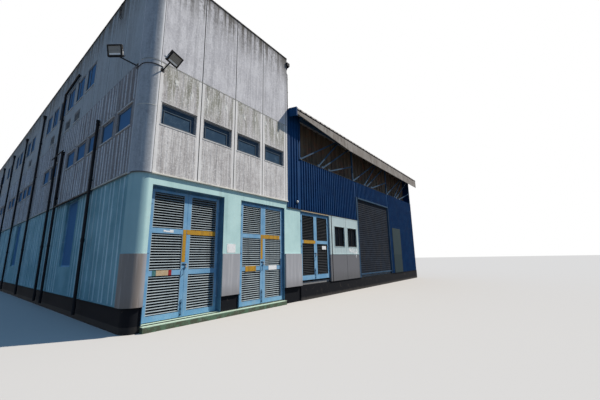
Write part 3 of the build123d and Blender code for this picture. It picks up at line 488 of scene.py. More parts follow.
# %% [markdown]
# ### Lips, lime, slabs and base
# Cast lips are cleaner than the panels, lime is nearly white, the floor slabs are
# dull and stained, and the shed's base is painted black. They have little in
# common, so each is one short chain rather than a recipe.

# %% Lips, lime, slabs and base
pale_lip = (
    Finish("pale_lip", (0.62, 0.61, 0.585), 0.85, specular=0.2)
    .lay(streaks, (0.33, 0.32, 0.29), 0.6, Per_metre=12.0, Tall=2.0, Low=0.5, High=0.7)
    .grain(70.0, 0.003).done())
lime_white = (
    Finish("lime_white", (0.80, 0.79, 0.74), 0.9, specular=0.1)
    .lay(patches, (0.62, 0.61, 0.56), 0.8, Per_metre=16.0, Low=0.45, High=0.6)
    .grain(80.0, 0.003).done())
slab_concrete = (
    Finish("slab_concrete", (0.30, 0.295, 0.285), 0.88, specular=0.2)
    .lay(patches, (0.22, 0.215, 0.21), 0.7, Per_metre=0.9, Low=0.4, High=0.6)
    .lay(patches, (0.13, 0.125, 0.12), 0.5, Per_metre=9.0, Low=0.55, High=0.7)
    # Nearly black up to the ground slab's top face: black paint on its outer faces, painted shade on the
    # floor seen inside the doors.
    .lay(by_height, (0.014, 0.014, 0.015), 0.96, Bottom=0.162, Top=0.150, Wander=0.0)
    .grain(45.0, 0.006).done())
BLACK_PAINT, PAINT_SCUFF = (0.009, 0.010, 0.013), (0.075, 0.06, 0.05)
black_base = (
    Finish("black_base", BLACK_PAINT, 0.8, specular=0.08)
    .lay(patches, PAINT_SCUFF, 0.6, Per_metre=6.0, Low=0.56, High=0.7)
    .lay(by_height, (0.10, 0.09, 0.08), 0.6, Bottom=0.16, Top=0.02, Wander=0.12)
    .grain(45.0, 0.006).done())

# %% [markdown]
# ### Painted render
# The ground storey is rendered and painted teal, and its foot is painted black up
# to knee height. The black could be a piece of its own, but on the real wall it
# is only paint, so a mask by height draws its edge.

# %% Render
def painted_render(name, fresh, worn, runs, grime=0.35, painted_curve_shade=None):
    """Teal paint, washed pale in upright runs, with a black foot."""
    made = Finish(name, worn, 0.8, specular=0.08)
    made.lay(patches, fresh, 0.8, Per_metre=1.1, Low=0.35, High=0.65)
    made.lay(streaks, fresh, runs, Per_metre=9.0, Tall=0.5, Low=0.46, High=0.66)
    made.lay(streaks, (0.13, 0.21, 0.22), grime, Per_metre=5.0, Tall=0.3, Low=0.55, High=0.75)
    made.lay(patches, (0.55, 0.62, 0.60), 0.5, Per_metre=8.0, Low=0.62, High=0.70)
    # On the rounded corner the teal turns darker and bluer: painted shade where the curve turns away from the
    # sun.
    if painted_curve_shade:
        made.coat(spread(made.tree, made.along("X"), CORNER.x + 0.36, CORNER.x + 0.27), painted_curve_shade, 0.55)
    foot = made.effect(by_height, Bottom=PLINTH_TOP + 0.004, Top=PLINTH_TOP - 0.004, Wander=0.0)
    made.coat(foot, BLACK_PAINT)
    made.lay(patches, PAINT_SCUFF, 0.6, foot, Per_metre=7.0, Low=0.64, High=0.72)
    return made.grain(60.0, 0.004).done()


MINT, WORN_MINT = (0.58, 0.80, 0.76), (0.47, 0.68, 0.655)
teal_render = painted_render("teal_render", MINT, WORN_MINT, runs=0.3, grime=0.25)
# The rounded corner's teal carries painted shade on its curve.
corner_render = painted_render("corner_render", MINT, WORN_MINT, runs=0.3, painted_curve_shade=(0.24, 0.42, 0.47))
# The side's render is darker than the flutes on it: partly its own tone, partly painted shade in the grooves
# between the flutes.
side_render = painted_render("side_render", (0.30, 0.51, 0.55), (0.18, 0.345, 0.39), runs=0.5, grime=0.5)
# The flutes of the render are paler: real washing, with painted light on the raised bands.
washed_and_lit_render = painted_render("washed_and_lit_render", (0.70, 0.86, 0.88), (0.42, 0.61, 0.65), runs=0.6, grime=0.3)

# %% [markdown]
# ### The grey band and the kerb
# The piers of the front carry a smooth grey band up to chest height, browner and
# darker where it meets the rounded corner: a brown stain, with painted shade over
# it. The kerb below the doors is dark olive green with a pale green strip along its
# top edge. Masks by height and by place draw these changes.

# %% Grey band and kerb
dado_grey = Finish("dado_grey", (0.37, 0.37, 0.385), 0.7, specular=0.2)
dado_grey.lay(streaks, (0.47, 0.465, 0.475), 0.7, Per_metre=10.0, Tall=0.8, Low=0.45, High=0.65)
dado_grey.lay(by_height, (0.20, 0.19, 0.19), 0.6, Bottom=0.95, Top=0.5, Wander=0.35)
# Near the rounded corner the band is browner and darker: a brown stain and painted shade.
corner_stain_and_shade = spread(dado_grey.tree, dado_grey.along("X"), CORNER.x + 0.40, CORNER.x + 0.30)
dado_grey.coat(corner_stain_and_shade, (0.22, 0.17, 0.13), 0.7)
dado_grey.lay(streaks, (0.42, 0.37, 0.34), 0.6, corner_stain_and_shade, Per_metre=14.0, Tall=0.6, Low=0.5, High=0.66)
dado_grey = dado_grey.grain(50.0, 0.003).done()

kerb_green = (
    Finish("kerb_green", (0.085, 0.10, 0.065), 0.8, specular=0.2)
    .lay(patches, (0.11, 0.21, 0.13), 0.7, Per_metre=7.0, Low=0.45, High=0.6)
    .lay(by_height, (0.52, 0.66, 0.52), 0.9, Bottom=0.112, Top=0.126, Wander=0.012)
    .lay(patches, (0.20, 0.19, 0.165), 0.7, Per_metre=18.0, Low=0.58, High=0.66)
    .grain(60.0, 0.004).done())

# %% [markdown]
# ### Painted steel
# Gloss paint on steel fades and chips. The recipe blends a faded coat, a few rust
# chips and a dusty film into one colour, and lets the chips be rougher.

# %% Recipe for steel
RUST = (0.16, 0.065, 0.03)
STEPS_PER_METRE, BLADE_LIT = 10.0, (0.11, 0.27)


def painted_steel(name, colour, faded, roughness, chips=0.7, dust=(0.4, 0.39, 0.36), dusty=0.25,
                  per_metre=14.0, specular=0.3, blade_shade=None):
    """Paint with faded areas, chips of rust and dust in streaks."""
    made = Finish(name, colour, roughness, specular=specular)
    made.lay(patches, faded, 0.7, Per_metre=2.2, Low=0.38, High=0.62)
    made.lay(streaks, dust, dusty, Per_metre=per_metre, Tall=0.8, Low=0.5, High=0.72)
    chip = made.effect(patches, Per_metre=26.0, Low=chips, High=chips + 0.03)
    made.coat(chip, RUST, 0.9)
    made.rub(chip, 0.9)
    if blade_shade:
        # The leaves with pale blades stand a whole tenth of a metre or two behind the
        # front, so depth in tenths tells a blade's lit edge from its shaded rest.
        depth = math_node(made.tree, "SUBTRACT", made.along("Y"), CORNER.y)
        depth = math_node(made.tree, "MULTIPLY", depth, STEPS_PER_METRE)
        depth = math_node(made.tree, "FRACT", depth)
        made.coat(spread(made.tree, depth, *BLADE_LIT), blade_shade, 0.88)
    return made.grain(35.0, 0.0015).done()


print("a blade is lit over", BLADE_LIT, "of a tenth of a metre")

# %% Doors and louvres
DARK_DUST = (0.07, 0.07, 0.07)
door_blue = painted_steel(
    "door_blue", (0.15, 0.34, 0.53), (0.25, 0.46, 0.64), 0.5, chips=0.72, specular=0.15)
# The door frames take a darker copy of the door blue: painted shade of the recess and the lintel.
shaded_frame_blue = painted_steel(
    "shaded_frame_blue", (0.065, 0.17, 0.28), (0.10, 0.23, 0.35), 0.55, chips=0.72, specular=0.15)
louvre_grey = painted_steel(
    "louvre_grey", (0.43, 0.49, 0.51), (0.31, 0.37, 0.40), 0.6, chips=0.74, dust=(0.14, 0.15, 0.15),
    dusty=0.5, specular=0.15, blade_shade=(0.085, 0.11, 0.13))
louvre_dark = painted_steel(
    "louvre_dark", (0.045, 0.05, 0.056), (0.03, 0.034, 0.04), 0.75, chips=0.74, dust=(0.035, 0.035, 0.035),
    dusty=0.5, specular=0.06)
strap_yellow = painted_steel(
    "strap_yellow", (0.52, 0.27, 0.012), (0.42, 0.23, 0.02), 0.55, chips=0.6, dust=(0.14, 0.10, 0.035),
    dusty=0.6)
bare_zinc = painted_steel("bare_zinc", (0.42, 0.43, 0.43), (0.30, 0.31, 0.32), 0.42, chips=0.66)

# %% Sheets, frames and pipes
blue_sheet = painted_steel(
    "blue_sheet", (0.004, 0.038, 0.122), (0.007, 0.055, 0.158), 0.5, chips=0.76, dust=(0.014, 0.042, 0.092),
    dusty=0.4, per_metre=5.0, specular=0.07)
blue_steel = painted_steel(
    "blue_steel", (0.016, 0.05, 0.10), (0.03, 0.075, 0.13), 0.55, dust=(0.10, 0.10, 0.10), specular=0.12)
shutter_steel = painted_steel(
    "shutter_steel", (0.014, 0.018, 0.026), (0.020, 0.028, 0.042), 0.65, chips=0.74,
    dust=(0.036, 0.034, 0.033), dusty=0.5, per_metre=3.0, specular=0.04)
roof_sheet = painted_steel(
    "roof_sheet", (0.34, 0.33, 0.31), (0.42, 0.405, 0.38), 0.55, chips=0.66, dust=(0.16, 0.14, 0.12),
    dusty=0.5, per_metre=3.0, specular=0.2)
window_frame = painted_steel("window_frame", (0.17, 0.20, 0.23), (0.24, 0.26, 0.28), 0.55)
sash_slate = painted_steel(
    "sash_slate", (0.05, 0.075, 0.10), (0.07, 0.10, 0.13), 0.5, chips=0.75, dust=(0.12, 0.13, 0.14),
    dusty=0.3, specular=0.15)
pipe_black = painted_steel(
    "pipe_black", (0.010, 0.012, 0.016), (0.018, 0.020, 0.024), 0.55, chips=0.8, dust=DARK_DUST, dusty=0.2,
    specular=0.1)
lamp_black = painted_steel(
    "lamp_black", (0.010, 0.010, 0.012), (0.018, 0.019, 0.021), 0.5, chips=0.8, dust=DARK_DUST, dusty=0.2,
    specular=0.15)

# %% [markdown]
# ### Rusty sheets and the eave board
# The sheets set back under the eave have lost their paint, and the board of the
# eave has only faded. Rust grows in soft fields and runs, so both take patches and
# streaks rather than the sharp chips of the recipe above.

# %% Brown sheets and eave board
brown_sheet = (
    Finish("brown_sheet", (0.085, 0.065, 0.048), 0.85, specular=0.3)
    .lay(streaks, (0.17, 0.125, 0.08), 0.7, Per_metre=3.0, Tall=0.5, Low=0.42, High=0.62)
    .lay(patches, (0.20, 0.075, 0.04), 0.6, Per_metre=1.6, Low=0.5, High=0.66)
    .lay(patches, (0.16, 0.16, 0.11), 0.6, Per_metre=3.5, Low=0.6, High=0.7)
    .lay(streaks, (0.03, 0.025, 0.02), 0.7, Per_metre=12.0, Tall=0.4, Low=0.52, High=0.66)
    .grain(30.0, 0.003).done())
eave_board = (
    Finish("eave_board", (0.23, 0.205, 0.18), 0.8, specular=0.2)
    .lay(patches, (0.32, 0.295, 0.265), 0.7, Per_metre=1.2, Low=0.4, High=0.6)
    .lay(streaks, (0.12, 0.10, 0.085), 0.7, Per_metre=6.0, Tall=2.0, Low=0.5, High=0.68)
    .lay(patches, (0.20, 0.12, 0.08), 0.6, Per_metre=5.0, Low=0.6, High=0.68)
    .grain(40.0, 0.002).done())

# %% [markdown]
# ### The pale panel
# The window panel is pale above and grey below its middle rail. The plain one at
# the far end of the shed is painted nearly black, as painted shade. One solid holds
# both, so masks by height and by place along the wall part the colours.

# %% Pale panel
RAIL_EDGE, FAR_PANEL_SHADE = (1.684, 1.676), (CORNER.x + 13.0, CORNER.x + 13.1)
pale_panel = Finish("pale_panel", (0.46, 0.57, 0.57), 0.6, specular=0.2)
pale_panel.lay(patches, (0.54, 0.64, 0.63), 0.7, Per_metre=2.0, Low=0.4, High=0.65)
pale_panel.lay(streaks, (0.26, 0.33, 0.33), 0.5, Per_metre=9.0, Tall=1.0, Low=0.55, High=0.72)
below = pale_panel.effect(by_height, Bottom=RAIL_EDGE[0], Top=RAIL_EDGE[1], Wander=0.004)
pale_panel.coat(below, (0.155, 0.155, 0.165))
pale_panel.lay(by_height, (0.09, 0.09, 0.09), 0.6, below, Bottom=1.1, Top=0.5, Wander=0.5)
# The plain panel at the far end is painted nearly black: painted shade.
far_panel_shade = spread(pale_panel.tree, pale_panel.along("X"), *FAR_PANEL_SHADE)
pale_panel.coat(far_panel_shade, (0.008, 0.024, 0.030), 0.98)
pale_panel.rub(far_panel_shade, 0.95)
pale_panel = pale_panel.grain(40.0, 0.002).done()

# %% [markdown]
# ### Dirty glass
# Old panes are seldom clear. Clear glass would show an empty hall behind, so these
# are nearly opaque: dark, slightly blue, with dust that makes them rougher. On the
# long side wall they take a bluer colour, a painted reflection of the sky, and the
# lamp panes are pale tan, dust with painted light bounced from the sunlit ground.

# %% Glass
GLASS_BEND, LET_THROUGH = 1.12, 0.1


def dirty_glass(name, colour, dust, dusty=0.45, shaded=None):
    """Dark glass with a dusty film; on the long side wall it takes a bluer colour, a painted reflection of
    the sky.
    """
    made = Finish(name, colour, 0.12, specular=0.04)
    film = made.effect(patches, Per_metre=3.0, Low=0.42, High=0.68)
    made.coat(film, dust, dusty)
    made.rub(film, 0.4)
    if shaded:
        # On the long side wall the panes take a bluer colour and a duller surface: a painted reflection of
        # the sky.
        long_wall = spread(made.tree, made.along("X"), CORNER.x + 0.20, CORNER.x + 0.10)
        made.coat(long_wall, shaded, 0.85)
        made.rub(long_wall, 0.9)
    made.shader.inputs["IOR"].default_value = GLASS_BEND
    made.shader.inputs["Transmission Weight"].default_value = LET_THROUGH
    return made.done()


window_glass = dirty_glass(
    "window_glass", (0.042, 0.078, 0.125), (0.095, 0.15, 0.205), shaded=(0.125, 0.27, 0.48))
panel_glass = dirty_glass("panel_glass", (0.006, 0.009, 0.014), (0.015, 0.018, 0.022))
# The lamp panes are pale tan: dust, lightened with painted light bounced from the sunlit ground.
lamp_glass_dust_and_reflection = dirty_glass("lamp_glass_dust_and_reflection", (0.47, 0.43, 0.37), (0.54, 0.50, 0.44), dusty=0.3)

# %% [markdown]
# ## Finishes on the solids
# The solids arrive bare. A table from each solid's name to its finish is easy to
# read and to change, and a count at the end shows that none was missed.

# %% Finishes on the solids
LOOKS = {
    "ground_slab": slab_concrete, "upper_floors": slab_concrete, "office_roof": slab_concrete,
    "shed_base_walls": black_base, "shed_floor": slab_concrete,
    "corner_ground": corner_render, "front_ground_wall": teal_render, "shed_front_pier": teal_render,
    "side_ground_wall": side_render, "rear_ground_wall": side_render, "east_ground_wall": side_render,
    "corner_upper": corner_concrete, "front_panels_first": front_first_concrete,
    "front_panels_top": front_top_concrete, "side_panels_first": side_first_concrete,
    "side_panels_top": side_top_concrete, "rear_panels": rear_concrete, "east_panels": rear_concrete,
    "window_frames": window_frame, "blue_window_frames": door_blue, "window_glass": window_glass,
    "grey_dado": dado_grey, "door_kerb": kerb_green, "door_frames": shaded_frame_blue,
    "shed_front_panels": pale_panel, "shed_window_frames": lamp_black, "shed_window_glass": panel_glass,
    "blue_front_sheets": blue_sheet, "blue_return": blue_sheet, "blue_end_sheets": blue_sheet,
    "blue_rear_sheets": blue_sheet, "brown_sheets": brown_sheet, "shed_roof": roof_sheet,
    "eave_board": eave_board, "portal_frames": blue_steel, "clerestory_frame": blue_steel,
    "roller_shutter": shutter_steel, "shutter_posts": blue_steel, "downpipes": pipe_black,
    "lamp_arms": lamp_black, "flood_lamps": lamp_black}
for door in ("door_1", "door_2", "door_3"):
    for side in ("left", "right"):
        LOOKS[f"{door}_{side}_leaf"] = door_blue
        LOOKS[f"{door}_{side}_blades"] = louvre_dark if door == "door_3" else louvre_grey
for name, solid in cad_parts.items():
    if not solid.material_slots:
        solid.data.materials.append(LOOKS[name])
    for place in solid.material_slots:
        place.material = LOOKS[name]
print("finished solids", len(LOOKS), "of", len(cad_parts))

# %% [markdown]
# ## Flutes of the panels
# The panels of the middle storey were cast against uneven boards, so upright bands
# stand a little proud of them. A displacement map would need a dense mesh; single
# bands with slanted edges catch the light just as well, and stay real geometry.

# %% Flutes of the front
def add_flutes(mesh, place, along, up, dice, deepest, gap, wide):
    """Raised bands of uneven width across one field of a panel."""
    at = along[0] + dice.uniform(*gap) / 2
    while at + wide[0] < along[1]:
        width = min(dice.uniform(*wide), along[1] - at)
        out = dice.uniform(0.55, 1.0) * deepest
        add_band(mesh, place, (at, at + width), (-0.002, out), up, out * 0.8)
        at += width + dice.uniform(*gap)


FIELD_LOW, FIELD_HIGH = (3.66, 4.85), (5.575, 6.585)
FRONT_FLUTES = {"deepest": 0.0035, "gap": (0.10, 0.24), "wide": (0.02, 0.07)}
dice = random.Random(7)
mesh = bmesh.new()
for n in range(FRONT_PANELS):
    start = CORNER_FRONT + FRONT_PANEL * n
    for field in (FIELD_LOW, FIELD_HIGH):
        add_flutes(mesh, front_face, (start + 0.12, start + FRONT_PANEL - 0.11), field, dice, **FRONT_FLUTES)
make_piece("front_panel_flutes", mesh, front_first_concrete)

# %% [markdown]
# ## Flutes of the side
# The side's flutes are deeper, and the rendered wall below has some as well. They
# stop at the windows, so the rows of windows are listed by the panel they are in,
# and the blue ones of the ground storey by where they start and end.

# %% Flutes of the side
FIRST_ROW = (0, 1, 2, 3, 4, 6, 7, 10, 11, 12, 14, 15, 17, 18, 19, 21, 22)
SIDE_FIELD_HIGH = (5.61, 6.585)
SIDE_FLUTES = {"deepest": 0.018, "gap": (0.12, 0.26), "wide": (0.03, 0.055)}
mesh = bmesh.new()
for n in range(SIDE_PANELS):
    start = CORNER_SIDE + SIDE_PANEL * n
    whole = ((FIELD_LOW[0], SIDE_FIELD_HIGH[1]),)
    for field in (FIELD_LOW, SIDE_FIELD_HIGH) if n in FIRST_ROW else whole:
        add_flutes(mesh, side_face, (start + 0.03, start + SIDE_PANEL - 0.03), field, dice, **SIDE_FLUTES)
make_piece("side_panel_flutes", mesh, washed_and_lit_flutes)

# %% Flutes of the render
BLUE_FIRST, BLUE_WIDE, BLUE_PITCH, BLUE_COUNT = 4.3, 1.2, 9.6, 3
BLUE_STARTS = [BLUE_FIRST + BLUE_PITCH * n for n in range(BLUE_COUNT)]
BLUE_WINDOWS = [(start, start + BLUE_WIDE) for start in BLUE_STARTS]
RENDER_FLUTES = {"deepest": 0.014, "gap": (0.18, 0.36), "wide": (0.025, 0.06)}
RENDER_INSET, RENDER_HEAD = 0.03, 3.57
mesh = bmesh.new()
edges = [CORNER_SIDE + 0.06] + [v for span in BLUE_WINDOWS for v in (span[0] - 0.08, span[1] + 0.08)]
edges.append(BLOCK_LONG - 0.1)
for span in zip(edges[::2], edges[1::2]):
    add_flutes(mesh, on_side(RENDER_INSET), span, (PLINTH_TOP + 0.03, RENDER_HEAD), dice, **RENDER_FLUTES)
make_piece("side_render_flutes", mesh, washed_and_lit_render)

# %% [markdown]
# ## Sills, lips and hoods
# Each window of the front has a thin cast lip over it and a sill below. On the side
# the lips grow into short hoods. They are the same band, only deeper.

# %% Front windows
WINDOW_FOOT, WINDOW_HEAD = 4.92, 5.51
LIP_HALF, FRONT_GLASS = 0.515, 0.0805
INNER_UP = (WINDOW_FOOT + 0.044, WINDOW_FOOT + 0.42)


def front_middle(n):
    """The middle of a panel of the front, counted from the rounded corner."""
    return CORNER_FRONT + FRONT_PANEL * (n + 0.5)


lips, sashes = bmesh.new(), bmesh.new()
for n in range(FRONT_PANELS):
    middle = front_middle(n)
    left = middle - 0.495
    for low, high, out in ((WINDOW_FOOT - 0.034, WINDOW_FOOT - 0.004, 0.010),
                           (WINDOW_HEAD + 0.004, WINDOW_HEAD + 0.022, 0.006)):
        add_band(lips, front_face, (middle - LIP_HALF, middle + LIP_HALF), (-0.002, out), (low, high), 0.003)
    add_ring(sashes, front_face, (left + 0.09, left + 0.86), (-FRONT_GLASS, -0.064), INNER_UP, 0.022, 0.002)
    add_band(sashes, front_face, (left + 0.045, left + 0.94), (-FRONT_GLASS, -0.072),
             (WINDOW_FOOT + 0.46, WINDOW_FOOT + 0.475), 0.002)
make_piece("front_window_lips", lips, pale_lip)
make_piece("front_inner_sashes", sashes, sash_slate)

# %% [markdown]
# ## Lime on the front
# Water that seeps through concrete leaves white lime where it comes out. It lies on
# the face as a thin crust with torn edges. A mask could draw it, but a few chips
# with four uneven corners each give the crust a real edge.

# %% Lime marks
def add_chip(mesh, corners, out):
    """A thin chip on the front's face, from four corners."""
    points = [front_face(along, depth, up) for depth in (-0.001, out) for along, up in corners]
    add_hull(mesh, points, BOX_FACES)


LIME_MARKS = ((0.37, 6.24), (0.75, 6.08), (1.16, 6.12), (1.70, 6.2), (2.31, 6.16), (2.7, 6.3), (3.13, 6.32),
              (3.5, 6.22), (3.62, 6.08))
CHIPS_EACH = 5
dice = random.Random(35)
mesh = bmesh.new()
for panels, middle in LIME_MARKS:
    along = CORNER_FRONT + FRONT_PANEL * panels
    for k in range(CHIPS_EACH):
        left, top = along + dice.uniform(-0.05, 0.02), middle + dice.uniform(0.0, 0.11)
        wide, drop = dice.uniform(0.022, 0.05), dice.uniform(0.10, 0.22)
        corners = [(left, top - 0.02), (left + wide * 0.5, top), (left + wide, top - drop * 0.7),
                   (left + wide * 0.4, top - drop)]
        add_chip(mesh, corners, dice.uniform(0.004, 0.006))
make_piece("lime_marks", mesh, lime_white)

# %% [markdown]
# ## Windows of the side
# Three kinds of window stand in the side wall: the middle storey's, taller ones at
# the top, and four small louvred ones. Hoods, sills and edge bars differ only in
# size, so they share two functions that start from a panel's middle.

# %% Side windows
TOP_ROW = (3, 4, 5, 6, 7, 8, 11, 12, 14, 15, 17, 18, 20, 21, 23)
SMALL_ROW = (4, 5, 7, 11)
TOP_FOOT, TOP_HEAD = 7.6, 8.52
SMALL_FOOT, SLATS, SLAT_PITCH, SLAT_TALL = 6.73, 5, 0.062, 0.035
SIDE_GLASS, EDGE_BARS, EDGE_BAR_WIDE = 0.0325, (-0.452, 0.387), 0.065


def side_middle(n):
    """The middle of a panel of the side, counted from the rounded corner."""
    return CORNER_SIDE + SIDE_PANEL * (n + 0.5)


def middle_band(mesh, n, half, out, up, slope=0.004):
    """A band across the middle of one side panel."""
    add_band(mesh, side_face, (side_middle(n) - half, side_middle(n) + half), out, up, slope)


def edge_bars(mesh, n, foot, head):
    """The upright bars at both edges of a side window."""
    for edge in EDGE_BARS:
        left = side_middle(n) + edge
        add_band(mesh, side_face, (left, left + EDGE_BAR_WIDE), (-SIDE_GLASS, -0.004),
                 (foot + 0.003, head - 0.003), 0.003)


hoods, bars = bmesh.new(), bmesh.new()
for n in FIRST_ROW:
    middle_band(hoods, n, 0.49, (-0.002, 0.030), (WINDOW_HEAD + 0.006, WINDOW_HEAD + 0.046), 0.005)
    middle_band(hoods, n, 0.475, (-0.002, 0.024), (WINDOW_FOOT - 0.045, WINDOW_FOOT - 0.004))
    edge_bars(bars, n, WINDOW_FOOT, WINDOW_HEAD)
for n in TOP_ROW:
    middle_band(hoods, n, 0.475, (-0.002, 0.020), (TOP_FOOT - 0.045, TOP_FOOT - 0.004))
    add_band(bars, side_face, (side_middle(n) + 0.10, side_middle(n) + 0.135), (-SIDE_GLASS, -0.018),
             (TOP_FOOT + 0.043, TOP_HEAD - 0.043), 0.003)
    edge_bars(bars, n, TOP_FOOT, TOP_HEAD)
for n in SMALL_ROW:
    middle_band(hoods, n, 0.39, (-0.002, 0.02), (SMALL_FOOT - 0.04, SMALL_FOOT - 0.004))
    for k in range(SLATS):
        foot = SMALL_FOOT + 0.06 + SLAT_PITCH * k
        middle_band(bars, n, 0.315, (-SIDE_GLASS, -0.018), (foot, foot + SLAT_TALL))
make_piece("side_window_hoods", hoods, pale_lip)
make_piece("side_window_bars", bars, sash_slate)

# %% [markdown]
# ## Windows of the rear and the far side
# These walls repeat the rows of the front and the side. The shed stands against the
# near part of the far side, so only the windows behind it get a bar.

# %% Rear and far side windows
mesh = bmesh.new()
for n in range(FRONT_PANELS):
    middle = front_middle(n)
    add_band(mesh, on_rear, (middle - 0.455, middle - 0.43), (-FRONT_GLASS, -0.070),
             (WINDOW_FOOT + 0.043, WINDOW_HEAD - 0.043), 0.002)
    add_ring(mesh, on_rear, (middle - 0.405, middle + 0.366), (-FRONT_GLASS, -0.064), INNER_UP, 0.022, 0.002)
for row, foot, head in ((FIRST_ROW, WINDOW_FOOT, WINDOW_HEAD), (TOP_ROW, TOP_FOOT, TOP_HEAD)):
    for middle in [side_middle(n) for n in row if side_middle(n) > SHED_DEEP + 0.8]:
        add_band(mesh, on_east, (middle - 0.015, middle + 0.015), (-SIDE_GLASS, -0.018),
                 (foot + 0.043, head - 0.043), 0.003)
make_piece("rear_window_bars", mesh, sash_slate)

# %% [markdown]
# ## Edges that turn the corner
# The coping, the storey joint with a thin dark line of painted shade in its groove, the
# ledge over the ground storey, a dark line of painted shadow under the rounded
# corner and a ring on the rounded corner all follow the wall in plan. A curve with a
# bevel would round their profile; a sweep of a small section keeps the sharp cast edge.

# %% Helpers for swept edges
def wall_path(reach_x=None, reach_y=None, steps=14):
    """Plan points along the side, round the corner and along the front."""
    path = [((0, reach_y), (-1, 0))] if reach_y else []
    for k in range(steps + 1):
        turn = math.radians(180 + 90 * k / steps)
        outward = (math.cos(turn), math.sin(turn))
        path.append(([CORNER_RADIUS + CORNER_RADIUS * part for part in outward], outward))
    return path + ([((reach_x, 0), (0, -1))] if reach_x else [])


def strip_section(low, high, out):
    """A thin strip with a sloping top, as (out, up) points."""
    return [(-0.002, low), (out, low), (out, high - out * 0.4), (-0.002, high)]


round_corner = wall_path()
print("the path round the corner has", len(round_corner), "points")

# %% Swept edges
cream_lip = (
    Finish("cream_lip", (0.70, 0.68, 0.60), 0.85, specular=0.2)
    .lay(streaks, (0.42, 0.41, 0.37), 0.6, Per_metre=5.0, Tall=2.0, Low=0.5, High=0.66)
    .grain(70.0, 0.003).done())
dark_edge = (
    Finish("dark_edge", (0.045, 0.042, 0.038), 0.9, specular=0.1)
    .lay(patches, (0.15, 0.14, 0.12), 0.7, Per_metre=6.0, Low=0.5, High=0.65)
    .grain(60.0, 0.004).done())

to_the_front = wall_path(BLOCK_WIDE)
front_only = [((BLOCK_WIDE, 0), (0, -1)), ((CORNER_FRONT, 0), (0, -1))]
side_only = [((0, BLOCK_LONG), (-1, 0)), ((0, CORNER_SIDE), (-1, 0))]
EDGES = {
    "parapet_edge": (dark_edge, [
        (wall_path(BLOCK_WIDE, BLOCK_LONG), PARAPET_TOP - 0.055, PARAPET_TOP - 0.002, 0.016)]),
    "cast_ledges": (cream_lip, [
        (round_corner, 5.343, 5.359, 0.005),
        (to_the_front, FIRST_TOP - 0.016, FIRST_TOP - 0.003, 0.006),
        (front_only, GROUND_TOP + 0.002, GROUND_TOP + 0.044, 0.030),
        (side_only, GROUND_TOP + 0.002, GROUND_TOP + 0.040, 0.034)]),
    # Thin dark strips: painted shade in the groove of the storey joint, and a painted shadow line under the
    # rounded corner.
    "storey_shadow_lines": (dark_edge, [
        (to_the_front, FIRST_TOP + 0.0005, FIRST_TOP + 0.008, 0.003),
        (round_corner, GROUND_TOP + 0.001, GROUND_TOP + 0.022, 0.006)])}
for name, (material, strips) in EDGES.items():
    mesh = bmesh.new()
    for path, low, high, out in strips:
        add_sweep(mesh, path, strip_section(low, high, out))
    make_piece(name, mesh, material)

# %% [markdown]
# ## Pipes
# The pipes are solids already. What they lack is what holds them: a collar at each
# clip, a cap on the short ones and a hopper at the top of the long ones.

# %% Pipe fittings
PIPE_OUT, HOPPER_OUT, HOPPER_RADIUS, HOPPER_LEVELS = 0.062, 0.068, 0.068, (8.70, 8.83, 8.90)
LONG_PIPES, LONG_TOP = (11.7, 16.1, 20.5, 24.9), 8.72
SHORT_PIPES, BENT_PIPE = ((3.0, 5.77), (6.85, 5.70)), (7.85, 8.5)
CLIP_FIRST, CLIP_PITCH, SOCKETS = 3.9, 1.75, (0.32, 2.1)
LEDGE_RUN, CONDUIT_RUN = 3.558, 5.735


def add_collar(mesh, along, low, high, radius):
    """An upright collar round a pipe of the side wall."""
    add_rod(mesh, spot(-PIPE_OUT, along, low), spot(-PIPE_OUT, along, high), radius, 16)


def add_rods(mesh, points, radius, sides=12):
    """Rods from point to point, given from the block's outer corner."""
    for start, end in zip(points, points[1:]):
        add_rod(mesh, spot(*start), spot(*end), radius, sides)


mesh = bmesh.new()
for along, top in [(along, LONG_TOP) for along in LONG_PIPES] + [*SHORT_PIPES, BENT_PIPE]:
    level = CLIP_FIRST
    while level < top - 0.04:
        add_collar(mesh, along, level - 0.03, level + 0.03, 0.048)
        level += CLIP_PITCH
    for joint in SOCKETS:
        add_collar(mesh, along, joint, joint + 0.09, 0.050)
for along, top in SHORT_PIPES:
    add_collar(mesh, along, top - 0.05, top + 0.02, 0.052)
for along in LONG_PIPES:
    foot, lip, top = [spot(-HOPPER_OUT, along, level) for level in HOPPER_LEVELS]
    add_rod(mesh, foot, lip, 0.048, 8, HOPPER_RADIUS)
    add_rod(mesh, lip, top, HOPPER_RADIUS, 8)
add_rods(mesh, [(-PIPE_OUT, along, LEDGE_RUN) for along, top in reversed(SHORT_PIPES)], 0.034, 14)
for along in (3.08, 4.35, 5.6, 6.72):
    add_rods(mesh, [(-PIPE_OUT, along, LEDGE_RUN), (-PIPE_OUT, along + 0.06, LEDGE_RUN)], 0.040, 14)
add_rods(mesh, [(-0.10, 6.62, CONDUIT_RUN), (-0.10, 8.32, CONDUIT_RUN)], 0.019, 10)
for along in (SHORT_PIPES[1][0], BENT_PIPE[0]):
    add_rods(mesh, [(0.002, along, CONDUIT_RUN), (-0.115, along, CONDUIT_RUN)], 0.023, 10)
make_piece("pipe_fittings", mesh, pipe_black)

# %% [markdown]
# ## The outlet at the corner
# A thin pipe at the far end of the front comes out of a flat box below the coping
# and bends twice. The bends could be swept along a curve, but at this size short
# rods, end to end, look the same.

